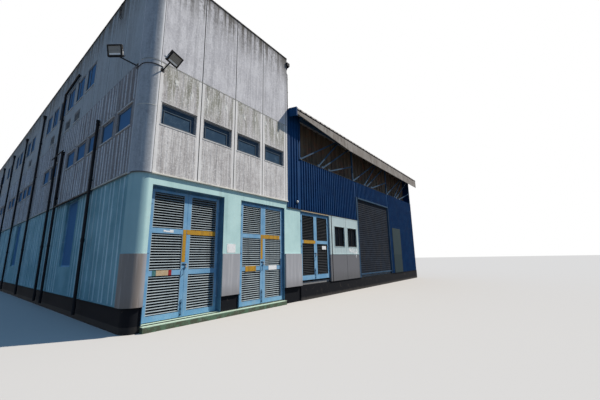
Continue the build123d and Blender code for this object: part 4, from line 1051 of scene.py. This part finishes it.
# %% Corner outlet
OUTLET_TOP, OUTLET_CLIPS = (9.26, 9.42), (7.5, 8.1, 8.7)
mesh = bmesh.new()
outlet = BLOCK_WIDE + 0.042
add_rods(mesh, [(outlet, 0.042, 7.35), (outlet, 0.042, 8.92)], 0.038)
add_rods(mesh, [(outlet, 0.042, 8.92), (outlet - 0.007, 0.10, 9.06)], 0.032)
add_rods(mesh, [(outlet - 0.007, 0.10, 9.06), (outlet + 0.008, 0.0, 9.29)], 0.030)
add_band(mesh, front_face, (BLOCK_WIDE - 0.05, BLOCK_WIDE + 0.12), (-0.04, 0.07), OUTLET_TOP, 0.012)
for level in OUTLET_CLIPS:
    add_band(mesh, front_face, (BLOCK_WIDE, BLOCK_WIDE + 0.07), (-0.07, -0.002), (level, level + 0.03), 0.002)
make_piece("corner_outlet", mesh, pipe_black)

# %% [markdown]
# ## A bracket on the side wall
# A small black bracket stands off the top storey near the corner. Two bent uprights
# and three rungs are all rods, so a list of points and two loops make it.

# %% Wall bracket
BRACKET_OUT, RUNGS = 0.055, (9.12, 9.27, 9.42)
mesh = bmesh.new()
for along in (2.16, 2.24):
    add_rods(mesh, [(0.004, along, 8.98), (-BRACKET_OUT, along, 9.03), (-BRACKET_OUT, along, 9.50),
                    (0.004, along, 9.55)], 0.009, 8)
for level in RUNGS:
    add_rods(mesh, [(-BRACKET_OUT, 2.15, level), (-BRACKET_OUT, 2.25, level)], 0.007, 8)
make_piece("wall_bracket", mesh, lamp_black)

# %% [markdown]
# ## Flood lamps
# A flood lamp is a shallow box with a pane in front, cooling fins behind and a yoke
# that lets it tilt. The box is a solid; a matrix with the lamp's own directions
# places the rest, so both lamps use the same lines.

# %% Helpers for the lamps
LAMP_HALF, LAMP_TALL, LAMP_DEEP, LAMP_LIFT, LAMP_BACK = 0.185, 0.29, 0.06, 0.087, 0.0223
LAMP_FACE = LAMP_BACK + LAMP_DEEP
LAMP_LOW, LAMP_HIGH = LAMP_LIFT - LAMP_TALL / 2, LAMP_LIFT + LAMP_TALL / 2
LED_ROWS, FINS, FIN_PITCH, ARM_HALF = 5, 11, 0.03, 0.026
# The end of each lamp's arm, the way it faces and how far it tilts down, in degrees.
LAMPS = (((-0.48, 0.59, 6.59), -52.0, 15.0), ((0.4, -0.43, 6.44), 20.0, 45.0))


def lamp_frame(end, facing, tilt):
    """The lamp's own directions: X across it, Y up its face, Z the way it looks."""
    turn, drop = math.radians(facing), math.radians(tilt)
    look = Vector((math.sin(turn) * math.cos(drop), -math.cos(turn) * math.cos(drop), -math.sin(drop)))
    side = Vector((math.cos(turn), math.sin(turn), 0))
    return Matrix.Translation(spot(*end)) @ Matrix((side, look.cross(side), look)).transposed().to_4x4()


def lamp_trim(mesh, place):
    """Rows of light strips, the rim and the cooling fins."""
    for k in range(LED_ROWS):
        row = LAMP_LOW + 0.105 + 0.032 * k
        add_band(mesh, place, (-0.13, 0.13), (LAMP_FACE - 0.005, LAMP_FACE - 0.0035),
                 (row, row + 0.004), 0.001)
    add_ring(mesh, place, (-LAMP_HALF + 0.004, LAMP_HALF - 0.004), (LAMP_FACE - 0.001, LAMP_FACE + 0.003),
             (LAMP_LOW + 0.004, LAMP_HIGH - 0.004), 0.032, 0.001)
    for k in range(FINS):
        at = FIN_PITCH * k - 0.15
        if abs(at) > ARM_HALF:
            add_band(mesh, place, (at - 0.003, at + 0.003), (0.002, LAMP_BACK + 0.001),
                     (LAMP_LOW + 0.03, LAMP_HIGH - 0.03), 0.001)


print("lamps", len(LAMPS), "with", FINS, "fins each")

# %% Lamp heads
panes, leds, trim, yokes = bmesh.new(), bmesh.new(), bmesh.new(), bmesh.new()
for lamp in LAMPS:
    own = lamp_frame(*lamp)
    place = lambda a, out, u: own @ Vector((a, u, out))
    add_band(panes, place, (-LAMP_HALF + 0.021, LAMP_HALF - 0.021), (LAMP_FACE - 0.010, LAMP_FACE - 0.005),
             (LAMP_LOW + 0.021, LAMP_HIGH - 0.021), 0.001)
    add_band(leds, place, (-0.135, 0.135), (LAMP_FACE - 0.005, LAMP_FACE - 0.003),
             (LAMP_LOW + 0.038, LAMP_LOW + 0.080), 0.001)
    lamp_trim(trim, place)
    for side in (-1, 1):
        edge = side * (LAMP_HALF + 0.004)
        cheek = sorted((edge, edge + side * 0.005))
        add_band(yokes, place, cheek, (-0.03, LAMP_BACK + 0.05), (-0.02, 0.015), 0.001)
        add_band(yokes, place, cheek, (LAMP_BACK + 0.01, LAMP_BACK + 0.05), (0.015, LAMP_LIFT + 0.02), 0.001)
        add_rod(trim, place(edge - side * 0.006, LAMP_BACK + 0.03, LAMP_LIFT),
                place(edge + side * 0.016, LAMP_BACK + 0.03, LAMP_LIFT), 0.012, 8)
    add_band(yokes, place, (-LAMP_HALF - 0.009, LAMP_HALF + 0.009), (-0.036, -0.030), (-0.02, 0.015), 0.001)
    add_rod(trim, place(0, -0.05, 0), place(0, 0.0, 0), 0.02, 10)
make_piece("lamp_panes", panes, lamp_glass_dust_and_reflection)
led_white = (
    Finish("led_white", (0.92, 0.92, 0.89), 0.5)
    .lay(patches, (0.82, 0.82, 0.78), 0.6, Per_metre=40.0, Low=0.5, High=0.6).done())
make_piece("lamp_light_strips", leds, led_white)
make_piece("lamp_trim", trim, lamp_black)
make_piece("lamp_yokes", yokes, bare_zinc)

# %% [markdown]
# ## What hangs on the doors
# Straps, plates, hasps and padlocks ride on the leaves, so each piece names its
# leaf as its body and turns with it. The plates are thin bands, and one table
# lists them all: pair, leaf, name, finish, and the places along and up the leaf.

# %% Straps and plates
FACES = {1: 0.20, 2: 0.10, 3: 0.06}
LOCK_RAIL, MIDDLE_RAIL, SHED_RAIL = (1.189, 1.314), (2.204, 2.329), (2.114, 2.239)
PLATE_OUT, PLATE_SLOPE = (-0.0005, 0.004), 0.0012


def tape(name, colour, worn, per_metre=20.0, low=0.5):
    """Coloured tape or a painted plate, a little worn."""
    return (Finish(name, colour, 0.6, specular=0.2)
            .lay(patches, worn, 0.6, Per_metre=per_metre, Low=low, High=0.6).grain(80.0, 0.001).done())


tan_plate = tape("tan_plate", (0.50, 0.37, 0.22), (0.58, 0.45, 0.29), per_metre=12.0, low=0.45)
red_tape = tape("red_tape", (0.30, 0.016, 0.018), (0.20, 0.02, 0.02))
teal_tape = tape("teal_tape", (0.05, 0.16, 0.16), (0.12, 0.24, 0.24))
white_plate = (
    Finish("white_plate", (0.86, 0.86, 0.84), 0.5, specular=0.2)
    .lay(patches, (0.66, 0.66, 0.63), 0.5, Per_metre=9.0, Low=0.5, High=0.66)
    .lay(streaks, (0.36, 0.33, 0.28), 0.5, Per_metre=16.0, Tall=2.0, Low=0.58, High=0.72)
    .grain(80.0, 0.001).done())

# %% Plates on the leaves
LEAF_PLATES = (
    (1, "left", "left_strap", strap_yellow, [((1.362, 1.453), MIDDLE_RAIL), ((1.362, 1.452), (1.50, 2.20))]),
    (1, "right", "right_strap", strap_yellow, [((1.467, 2.345), MIDDLE_RAIL)]),
    (1, "left", "tan_plate", tan_plate, [((0.735, 1.035), LOCK_RAIL)]),
    (1, "left", "red_end", red_tape, [((1.038, 1.118), LOCK_RAIL)]),
    (1, "left", "teal_end", teal_tape, [((0.645, 0.732), LOCK_RAIL)]),
    (1, "left", "torn_plate", white_plate, [((0.84, 0.90), (2.245, 2.29)), ((0.90, 1.0), (2.238, 2.275)),
                                            ((1.0, 1.10), (2.232, 2.302))]),
    (2, "left", "left_strap", strap_yellow, [((4.045, 4.135), MIDDLE_RAIL), ((4.045, 4.132), (1.54, 2.20))]),
    (2, "right", "right_strap", strap_yellow, [((4.149, 4.951), MIDDLE_RAIL)]),
    (2, "left", "yellow_plate", strap_yellow, [((3.406, 3.848), (1.17, 1.335))]),
    (2, "right", "white_plate", white_plate, [((4.41, 4.80), (1.18, 1.325))]),
    (3, "left", "left_strap", strap_yellow, [((6.29, 7.07), SHED_RAIL)]),
    (3, "right", "white_plate", white_plate, [((7.55, 7.85), (1.885, 2.03))]))
for pair, leaf, name, material, places in LEAF_PLATES:
    make_bands(f"door_{pair}_{name}", material, on_front(FACES[pair]),
               [(along, PLATE_OUT, up, PLATE_SLOPE) for along, up in places], f"door_{pair}_{leaf}")

# %% [markdown]
# ### Hasps and locks
# The hasp swings on the left leaf over a staple on the right one, and the padlock
# hangs from the staple. A drop bolt holds the left leaf's foot. Every measure is
# taken from the line where the leaves meet, so three pairs share one function.

# %% Hasps, padlocks and bolts
def add_loop(mesh, middle, radius, wire, end=360.0, steps=10):
    """A ring or part of a ring of wire that stands out from the door."""
    turns = [math.radians(end * k / steps) for k in range(steps + 1)]
    points = [middle + Vector((radius * math.cos(turn), 0, radius * math.sin(turn))) for turn in turns]
    for a, b in zip(points, points[1:]):
        add_rod(mesh, a, b, wire, 6)


def door_furniture(door, meeting, face, lock, foot):
    """Hasp, staple, padlock, drop bolt and pull handle of one pair of leaves."""
    wall = on_front(face)

    def plate(mesh, along, out, up, slope=0.001, base=lock):
        """A plate, from the meeting line and the lock's height."""
        add_band(mesh, wall, [meeting + a for a in along], out, [base + u for u in up], slope)

    def bar(mesh, start, end, radius, sides=8, base=lock):
        """A round bar between two places, given in the same way."""
        ends = [wall(meeting + along, out, base + up) for along, out, up in (start, end)]
        add_rod(mesh, *ends, radius, sides)

    left, right, hung = bmesh.new(), bmesh.new(), bmesh.new()
    plate(left, (-0.085, -0.012), (-0.0005, 0.004), (-0.025, 0.025))
    plate(left, (-0.030, 0.050), (0.0045, 0.0085), (-0.014, 0.014))
    bar(left, (-0.022, 0.005, -0.025), (-0.022, 0.005, 0.025), 0.006)
    bar(left, (-0.05, 0.016, 0.02), (-0.05, 0.016, 0.42), 0.008, base=foot)
    bar(left, (-0.05, 0.016, 0.36), (-0.05, 0.045, 0.36), 0.006, base=foot)
    for guide in (0.05, 0.18, 0.32):
        plate(left, (-0.068, -0.032), (-0.0005, 0.027), (guide, guide + 0.022), 0.002, foot)
    bar(left, (-0.05, 0.035, -0.26), (-0.05, 0.035, -0.10), 0.007)
    for end in (-0.26, -0.10):
        bar(left, (-0.05, -0.0005, end), (-0.05, 0.04, end), 0.007)
    make_piece(f"{door}_left_furniture", left, blue_steel, f"{door}_left")
    plate(right, (0.008, 0.070), (-0.0005, 0.003), (-0.022, 0.022))
    bar(right, (0.030, -0.0005, 0.006), (0.030, 0.026, 0.006), 0.004, 6)
    bar(right, (0.030, 0.026, 0.008), (0.030, 0.026, -0.012), 0.004, 6)
    bar(right, (0.030, -0.0005, -0.010), (0.030, 0.026, -0.010), 0.004, 6)
    make_piece(f"{door}_staple", right, bare_zinc, f"{door}_right")
    plate(hung, (0.004, 0.056), (0.012, 0.036), (-0.082, -0.032), 0.004)
    add_loop(hung, wall(meeting + 0.030, 0.024, lock - 0.032), 0.017, 0.0042, 180)
    make_piece(f"{door}_padlock", hung, bare_zinc, f"{door}_right", 0.002)


for pair, meeting, lock, foot in ((1, 1.46, 1.44, 0.17), (2, 4.14, 1.44, 0.17), (3, 7.085, 1.72, 0.72)):
    door_furniture(f"door_{pair}", meeting, FACES[pair], lock, foot)

# %% [markdown]
# ## Small things on the front
# Painted sills lie in the doorways, and a thin plate is screwed to the pier between
# them. They are fixed to the wall, so they ride on the building and not on a leaf.

# %% Door sills and pier plate
SILL_FRONT, SILL_UP = 0.082, (0.1505, 0.154)
SILLS = ((0.42, 2.50, 0.19), (3.13, 5.15, 0.09))

mesh = bmesh.new()
for start, end, back in SILLS:
    corners = ((start, SILL_FRONT), (end, SILL_FRONT), (end, back), (start, back))
    add_hull(mesh, [spot(x, y, z) for z in SILL_UP for x, y in corners], BOX_FACES)
make_piece("door_sills", mesh, kerb_green)
make_bands("pier_plate", white_plate, on_front(0.03),
           [((2.64, 2.95), (-0.001, 0.004), (1.735, 1.99), 0.001)])
mesh = bmesh.new()
for z in (1.755, 1.97):
    for x in (2.66, 2.93):
        add_rod(mesh, spot(x, 0.0265, z), spot(x, 0.0225, z), 0.006, 8)
make_piece("pier_plate_screws", mesh, bare_zinc)

# %% [markdown]
# ## A bulkhead light
# The round light on the shed is a shallow dome of milky glass with wire rings.
# Blender's own sphere, cut in half, would do, but a dome from a few rings of points
# is lighter and has no hidden half.

# %% Bulkhead light
LIGHT_ALONG, LIGHT_UP, LIGHT_RINGS = 5.85, 3.68, 3


def add_dome(mesh, centre, radius, deep, rings=5, sides=20):
    """A shallow dome that faces the front."""
    loops = []
    for k in range(rings):
        turn = math.radians(90 * k / rings)
        reach, out = radius * math.cos(turn), deep * math.sin(turn)
        around = [2 * math.pi * s / sides for s in range(sides)]
        loops.append([mesh.verts.new(centre + Vector((reach * math.cos(a), -out, reach * math.sin(a))))
                      for a in around])
    tip = mesh.verts.new(centre + Vector((0, -deep, 0)))
    for loop, after in zip(loops, loops[1:]):
        for s in range(sides):
            mesh.faces.new((loop[s], loop[(s + 1) % sides], after[(s + 1) % sides], after[s]))
    for s in range(sides):
        mesh.faces.new((loops[-1][s], loops[-1][(s + 1) % sides], tip))
    mesh.faces.new(list(reversed(loops[0])))


lens_white = (
    Finish("lens_white", (0.72, 0.74, 0.72), 0.3)
    .lay(patches, (0.52, 0.53, 0.50), 0.5, Per_metre=30.0, Low=0.5, High=0.65).done())
mesh = bmesh.new()
add_dome(mesh, spot(LIGHT_ALONG, -0.022, LIGHT_UP), 0.055, 0.05)
make_piece("bulkhead_lens", mesh, lens_white)
mesh = bmesh.new()
add_rod(mesh, spot(LIGHT_ALONG, 0.001, LIGHT_UP), spot(LIGHT_ALONG, -0.024, LIGHT_UP), 0.062, 20)
for k in range(LIGHT_RINGS):
    inward = 0.010 * k
    add_loop(mesh, spot(LIGHT_ALONG, -0.030 - inward, LIGHT_UP), 0.054 - inward, 0.003, steps=12)
gland_top, gland_foot = LIGHT_UP - 0.06, LIGHT_UP - 0.09
add_rod(mesh, spot(LIGHT_ALONG, -0.012, gland_top), spot(LIGHT_ALONG, -0.012, gland_foot), 0.012, 8)
make_piece("bulkhead_body", mesh, lamp_black)

# %% [markdown]
# ## The shed's sheets
# Box-ribbed sheets are fixed with a screw on every other rib and closed at their
# edges with folded flashings. The screws are many and small, so one loop walks
# along the ribs and adds a short six-sided head at each.

# %% Sheet screws
RIB_PITCH = 0.163
DOOR_3, PANEL_END, SHUTTER, SHEETS_END = (6.07, 8.1), 10.76, (10.9, 15.0), 19.74
SHEET_FOOT, SHEET_TOP = 3.4, 5.48
ROWS = (3.48, 4.42, 5.40)
SCREW_FIELDS = ((BLOCK_WIDE, DOOR_3[0], (*ROWS, 6.40, 7.2)), (DOOR_3[0], PANEL_END, ROWS),
                (PANEL_END, SHUTTER[1] + 0.08, (4.74, 5.40)), (SHUTTER[1] + 0.08, SHEETS_END, ROWS))


def crest_places(start, end, pitch, every=2):
    """Middles of the ribs of a sheet, as the sheet was laid out."""
    count = int((end - start) // pitch)
    margin = (end - start - count * pitch) / 2
    return [start + margin + (k + 0.5) * pitch for k in range(0, count, every)]


mesh = bmesh.new()
for start, end, rows in SCREW_FIELDS:
    for x in crest_places(start, end, RIB_PITCH):
        for z in rows:
            add_rod(mesh, spot(x, 0.001, z), spot(x, -0.006, z), 0.009, 6)
make_piece("sheet_screws", mesh, blue_steel)

# %% Flashings of the shed front
make_bands("upright_flashings", blue_sheet, front_face, [
    ((BLOCK_WIDE + 0.002, BLOCK_WIDE + 0.07), (0.0, 0.008), (SHEET_FOOT, 7.33), 0.001),
    ((DOOR_3[0] - 0.03, DOOR_3[0] + 0.03), (0.0, 0.006), (SHEET_TOP, 7.30), 0.001)])
# Black bands at the foot and the top of the blue sheets: painted shade in the gaps there.
make_bands("sheet_gap_shade", lamp_black, front_face, [
    ((BLOCK_WIDE + 0.002, PANEL_END), (-0.03, 0.010), (SHEET_FOOT - 0.016, SHEET_FOOT + 0.012), 0.002),
    ((DOOR_3[0], SHUTTER[1] + 0.09), (-0.03, 0.006), (SHEET_TOP - 0.012, SHEET_TOP + 0.004), 0.001)])
make_bands("lintel_edge", tan_plate, front_face, [
    ((DOOR_3[0] + 0.05, DOOR_3[1] - 0.08), (-0.001, 0.008), (3.352, 3.382), 0.002)])

# %% [markdown]
# ## The pale window panel
# Cover strips close the joints between the boards, and paint has peeled off in
# rags below the second window. The rags are thin chips of their own, because a
# peeling edge casts a small shadow that paint in a material would not.

# %% Cover strips
PANEL_WINDOWS = (DOOR_3[1] + 0.4, DOOR_3[1] + 1.58)
PANEL_UP, BOARDS = (PLINTH_TOP + 0.004, 3.378), (DOOR_3[1] + 0.20, PANEL_END - 0.05)
UPRIGHT_STRIPS = ((DOOR_3[1] + 0.012, 0.11), (9.53, 0.034), (PANEL_END - 0.045, 0.04))

mesh, dark = bmesh.new(), bmesh.new()
for x, wide in UPRIGHT_STRIPS:
    add_band(mesh, front_face, (x, x + wide), (-0.001, 0.006), PANEL_UP, 0.002)
add_band(mesh, front_face, BOARDS, (-0.001, 0.006), (3.34, PANEL_UP[1]), 0.002)
add_band(mesh, front_face, BOARDS, (-0.001, 0.012), (1.68, 1.71), 0.003)
add_band(dark, front_face, (DOOR_3[1] + 0.128, DOOR_3[1] + 0.195), (-0.001, 0.003), PANEL_UP, 0.001)
for left in PANEL_WINDOWS:
    add_ring(mesh, front_face, (left - 0.03, left + 0.91), (-0.001, 0.010), (2.0, 2.96), 0.03, 0.002)
    add_band(dark, front_face, (left + 0.425, left + 0.455), (-0.0555, -0.041), (2.075, 2.885), 0.002)
make_piece("panel_cover_strips", mesh, pale_panel)
make_piece("panel_dark_joints", dark, lamp_black)

# %% Peeled paint
RAGS = 46
dice = random.Random(21)
mesh = bmesh.new()
for k in range(RAGS):
    x = dice.uniform(9.72, 10.62)
    top = dice.uniform(1.82, 1.99) if x < 10.2 else dice.uniform(1.72, 1.99)
    drop = dice.uniform(0.03, 0.16 if x < 10.3 else 0.30)
    turn = dice.uniform(-0.02, 0.02)
    corners = [(x, top), (x + dice.uniform(0.02, 0.07), top - dice.uniform(0, 0.02)),
               (x + dice.uniform(0.01, 0.05) + turn, top - drop * 0.6), (x + turn, top - drop)]
    add_chip(mesh, corners, dice.uniform(0.002, 0.005))
make_piece("peeled_paint", mesh, white_plate)

# %% [markdown]
# ## Roller shutter trim
# A shutter runs in two guides and ends in a stiff bar with two handles. The ribbed
# curtain is a solid; folded plates and plain bars are enough to close its edges.

# %% Shutter guides
GUIDE_UP, CURTAIN = (0.652, 4.648), (SHUTTER[0] + 0.02, SHUTTER[1] - 0.02)
# Start and end of each plate, measured into the opening, and how far out it lies.
GUIDE_PLATES = ((0, 0.006, (-0.10, 0.0)), (0.006, 0.07, (-0.056, -0.05)), (-0.03, 0, (0.0, 0.006)))
HANDLES, HANDLE_HALF, HANDLE_UP = (12.2, 13.7), 0.07, 0.70

mesh = bmesh.new()
for x, side in zip(SHUTTER, (1, -1)):
    for start, end, out in GUIDE_PLATES:
        add_band(mesh, front_face, sorted((x + side * start, x + side * end)), out, GUIDE_UP, 0.001)
add_band(mesh, front_face, CURTAIN, (-0.06, -0.028), (0.656, 0.735), 0.006)
add_band(mesh, front_face, CURTAIN, (-0.056, 0.02), (4.56, 4.645), 0.01)
for x in HANDLES:
    for end in (x - HANDLE_HALF, x + HANDLE_HALF):
        add_rod(mesh, front_face(end, -0.03, HANDLE_UP), front_face(end, 0.01, HANDLE_UP), 0.007, 8)
    add_rod(mesh, front_face(x - HANDLE_HALF, 0.006, HANDLE_UP),
            front_face(x + HANDLE_HALF, 0.006, HANDLE_UP), 0.008, 8)
make_piece("shutter_guides", mesh, blue_steel)

# %% [markdown]
# ## Roof edge
# Roof sheets overlap by a rib, so a raised edge shows at every third one. The
# eave gets a folded trim in lengths, the ridge a cap, and the slope rows of screws.

# %% Places on the roof
ROOF_SLOPE = math.radians(10)
ROOF_UNDER, ROOF_START, ROOF_END, ROOF_RIB_PITCH, EAVE_OUT = 7.297, 5.41, 20.1, 0.345, 0.4
RIDGE, RIDGE_UP = SHED_DEEP / 2, 8.678
SLOPE_LONG = (RIDGE + EAVE_OUT) / math.cos(ROOF_SLOPE)
SCREW_ROWS = (0.09, 1.95, 3.85, 5.75, 7.35)


def on_roof(rear=False):
    """Places on a slope: along it, out from its underside and up the slope."""
    def place(along, out, up):
        y = -EAVE_OUT + up * math.cos(ROOF_SLOPE) - out * math.sin(ROOF_SLOPE)
        z = ROOF_UNDER + up * math.sin(ROOF_SLOPE) + out * math.cos(ROOF_SLOPE)
        return spot(along, SHED_DEEP - y if rear else y, z)
    return place


slopes = (on_roof(), on_roof(rear=True))
crests = crest_places(ROOF_START, ROOF_END, ROOF_RIB_PITCH, 1)
print("ribs on the roof", len(crests), "over a slope of", round(SLOPE_LONG, 2))

# %% Roof laps, ridge and screws
LAP_OUT, CAP_OUT, VERGE_TRIM_OUT = (0.042, 0.048), (0.044, 0.050), (0.010, 0.047)
laps, screws = bmesh.new(), bmesh.new()
for place in slopes:
    for x in crests[::3]:
        add_band(laps, place, (x + 0.030, x + 0.052), LAP_OUT, (0.004, SLOPE_LONG - 0.2), 0.001)
    for x in crests[::2]:
        for up in SCREW_ROWS:
            add_rod(screws, place(x, 0.042, up), place(x, 0.050, up), 0.011, 6)
for place in slopes:
    add_band(laps, place, (ROOF_START, ROOF_END), CAP_OUT, (SLOPE_LONG - 0.24, SLOPE_LONG - 0.005), 0.001)
    for x in (ROOF_START + 0.002, ROOF_END - 0.09):
        add_band(laps, place, (x, x + 0.088), VERGE_TRIM_OUT, (0.002, SLOPE_LONG - 0.01), 0.002)
add_rod(laps, spot(ROOF_START, RIDGE, RIDGE_UP), spot(ROOF_END, RIDGE, RIDGE_UP), 0.022, 12)
make_piece("roof_laps_and_ridge", laps, roof_sheet)
make_piece("roof_screws", screws, bare_zinc)

# %% Verge board
VERGE_LOW, VERGE_HIGH, VERGE_RISE, VERGE_OUT = 6.99, 7.36, 0.07, EAVE_OUT + 0.010
mesh = bmesh.new()
verge = [(-VERGE_OUT, VERGE_LOW), (0.0, VERGE_LOW + VERGE_RISE),
         (0.0, VERGE_HIGH + VERGE_RISE), (-VERGE_OUT, VERGE_HIGH)]
add_hull(mesh, [spot(x, y, z) for x in (ROOF_START - 0.016, ROOF_START - 0.004) for y, z in verge], BOX_FACES)
add_band(mesh, on_front(-EAVE_OUT - 0.006), (ROOF_START - 0.016, ROOF_START + 0.05), (0.0005, 0.010),
         (VERGE_LOW, VERGE_HIGH), 0.002)
make_piece("verge_board", mesh, blue_sheet)

# %% [markdown]
# ## The eave
# The trim comes in lengths of three ribs, so small gaps show between them. Below it
# black foam fillers close the ends of the ribs. Seen from the ground they are one
# dark line with a tooth at each rib, and that line parts the roof from the board.

# %% Eave trim
TRIM_UP, TRIM_RIBS = (7.292, 7.346), 3
eave = on_front(-EAVE_OUT)

pale_trim = (
    Finish("pale_trim", (0.47, 0.44, 0.405), 0.6)
    .lay(patches, (0.38, 0.35, 0.31), 0.6, Per_metre=3.0, Low=0.45, High=0.62)
    .lay(streaks, (0.26, 0.22, 0.19), 0.5, Per_metre=10.0, Tall=2.0, Low=0.52, High=0.7)
    .grain(40.0, 0.002).done())
mesh = bmesh.new()
x = ROOF_START
while x < ROOF_END - 0.1:
    end = min(x + TRIM_RIBS * ROOF_RIB_PITCH, ROOF_END)
    add_band(mesh, eave, (x + 0.004, end - 0.012), (0.001, 0.008), TRIM_UP, 0.002)
    x = end
make_piece("eave_trim", mesh, pale_trim)

# %% Rib fillers
FILLER_UP, TOOTH_UP, TOOTH_HALF = (7.236, 7.291), (7.289, 7.322), 0.045
filler_black = (
    Finish("filler_black", (0.005, 0.005, 0.007), 0.95, specular=0.05)
    .lay(patches, (0.012, 0.012, 0.013), 0.7, Per_metre=9.0, Low=0.5, High=0.7)
    .grain(60.0, 0.001).done())
mesh = bmesh.new()
add_band(mesh, eave, (ROOF_START + 0.01, ROOF_END - 0.01), (0.001, 0.006), FILLER_UP, 0.001)
for x in crests:
    add_band(mesh, eave, (x - TOOTH_HALF, x + TOOTH_HALF), (0.0085, 0.011), TOOTH_UP, 0.001)
make_piece("rib_fillers", mesh, filler_black)

# %% [markdown]
# ### Covers on the eave board
# Narrow strips cover the joints between the boards. The foot of the board drops as
# it goes along and then stays level, so each strip is cut to reach it.

# %% Covers on the eave board
COVER_TOP, COVER_PITCH, COVERS = 7.225, 2.4, 6
BOARD_FOOT, BOARD_RISE, BOARD_BEND = 7.10, 0.34, 4.26
mesh = bmesh.new()
for k in range(1, COVERS + 1):
    x = ROOF_START + COVER_PITCH * k
    low = BOARD_FOOT - BOARD_RISE * min(1.0, (x - ROOF_START) / BOARD_BEND)
    add_band(mesh, eave, (x - 0.02, x + 0.02), (-0.001, 0.004), (low + 0.01, COVER_TOP), 0.001)
make_piece("eave_board_covers", mesh, eave_board)

# %% [markdown]
# ## Plates on the braced frame
# Where the braces meet the rail and the beam, the real frame has small plates with
# two bolts each. They hide the joint and catch a little light.

# %% Gusset plates
BRACE_FACE, FRAME_LEFT, BAYS = 0.0433, 6.0703, 3
# Shares of a bay at which the braces meet the rail and the beam.
BRACE_FEET, BRACE_HEADS = (0.02, 0.305, 0.375, 0.495), (0.68, 0.72, 0.965)
bay = (SHEETS_END - FRAME_LEFT - 0.07) / BAYS
beam_foot = ROOF_UNDER + (EAVE_OUT + BRACE_FACE) * math.tan(ROOF_SLOPE) - 0.16
joints = [(share, SHEET_TOP + 0.02) for share in BRACE_FEET]
joints += [(share, beam_foot - 0.05) for share in BRACE_HEADS]
plates, bolts = bmesh.new(), bmesh.new()
for n in range(BAYS):
    for share, level in joints:
        x = FRAME_LEFT + bay * (n + share)
        add_band(plates, on_front(BRACE_FACE), (x - 0.07, x + 0.09), (-0.001, 0.007),
                 (level - 0.06, level + 0.09), 0.002)
        for bolt in (x - 0.03, x + 0.05):
            foot, head = spot(bolt, BRACE_FACE - 0.006, level), spot(bolt, BRACE_FACE - 0.018, level)
            add_rod(bolts, foot, head, 0.011, 6)
make_piece("gusset_plates", plates, blue_steel)
make_piece("gusset_bolts", bolts, bare_zinc)

# %% [markdown]
# ## Light and floor
# A low sun with a soft edge from the right of the front, and a pale sky for the
# shade. The floor is plain. The sky is white only where the camera, a reflection
# or glass sees it, so it adds no light of its own there.

# %% Light
SUN_TURN, SUN_HEIGHT, SUN_WIDE = (math.radians(a) for a in (57, 46, 1.5))
sun = bpy.data.objects.new("sun", bpy.data.lights.new("sun", "SUN"))
sun.data.energy = 5.0
sun.data.angle = SUN_WIDE
sun.data.color = (1.0, 0.93, 0.84)
sun_side = Vector((math.sin(SUN_TURN) * math.cos(SUN_HEIGHT), -math.cos(SUN_TURN) * math.cos(SUN_HEIGHT),
                   math.sin(SUN_HEIGHT)))
sun.rotation_euler = sun_side.to_track_quat("Z", "Y").to_euler()
bpy.context.scene.collection.objects.link(sun)


def seen_rays(tree):
    """1 for what the camera, a reflection or glass sees, 0 for light that only bounces."""
    path = tree.nodes.new("ShaderNodeLightPath")
    seen = math_node(tree, "MAXIMUM", path.outputs["Is Camera Ray"], path.outputs["Is Glossy Ray"])
    return math_node(tree, "MAXIMUM", seen, path.outputs["Is Transmission Ray"])


sky = bpy.data.worlds.new("sky")
bpy.context.scene.world = sky
sky.use_nodes = True
tree = sky.node_tree
light = tree.nodes["Background"]
light.inputs["Color"].default_value = (0.30, 0.58, 1.0, 1)
light.inputs["Strength"].default_value = 0.45
white = add_node(tree, "ShaderNodeBackground", {"Color": (1, 1, 1, 1), "Strength": 1.0})
blend = add_node(tree, "ShaderNodeMixShader", {0: seen_rays(tree), 1: light.outputs[0], 2: white.outputs[0]})
tree.links.new(blend.outputs[0], tree.nodes["World Output"].inputs["Surface"])
print("sun stands towards", [round(v, 2) for v in sun_side])

# %% Floor
FLOOR_REACH = 300.0
floor_mesh = bmesh.new()
floor_mesh.faces.new([floor_mesh.verts.new((x * FLOOR_REACH, y * FLOOR_REACH, 0))
                      for x, y in ((-1, -1), (1, -1), (1, 1), (-1, 1))])
floor_data = bpy.data.meshes.new("floor")
floor_mesh.to_mesh(floor_data)
floor_mesh.free()
floor = bpy.data.objects.new("floor", floor_data)
bpy.context.scene.collection.objects.link(floor)
pale_floor = Finish("pale_floor", (0.15, 0.145, 0.14), 0.95, specular=0.0)
pale_floor.coat(seen_rays(pale_floor.tree), (0.56, 0.54, 0.51))
floor_data.materials.append(pale_floor.done())
print("floor reaches", FLOOR_REACH, "metres each way")
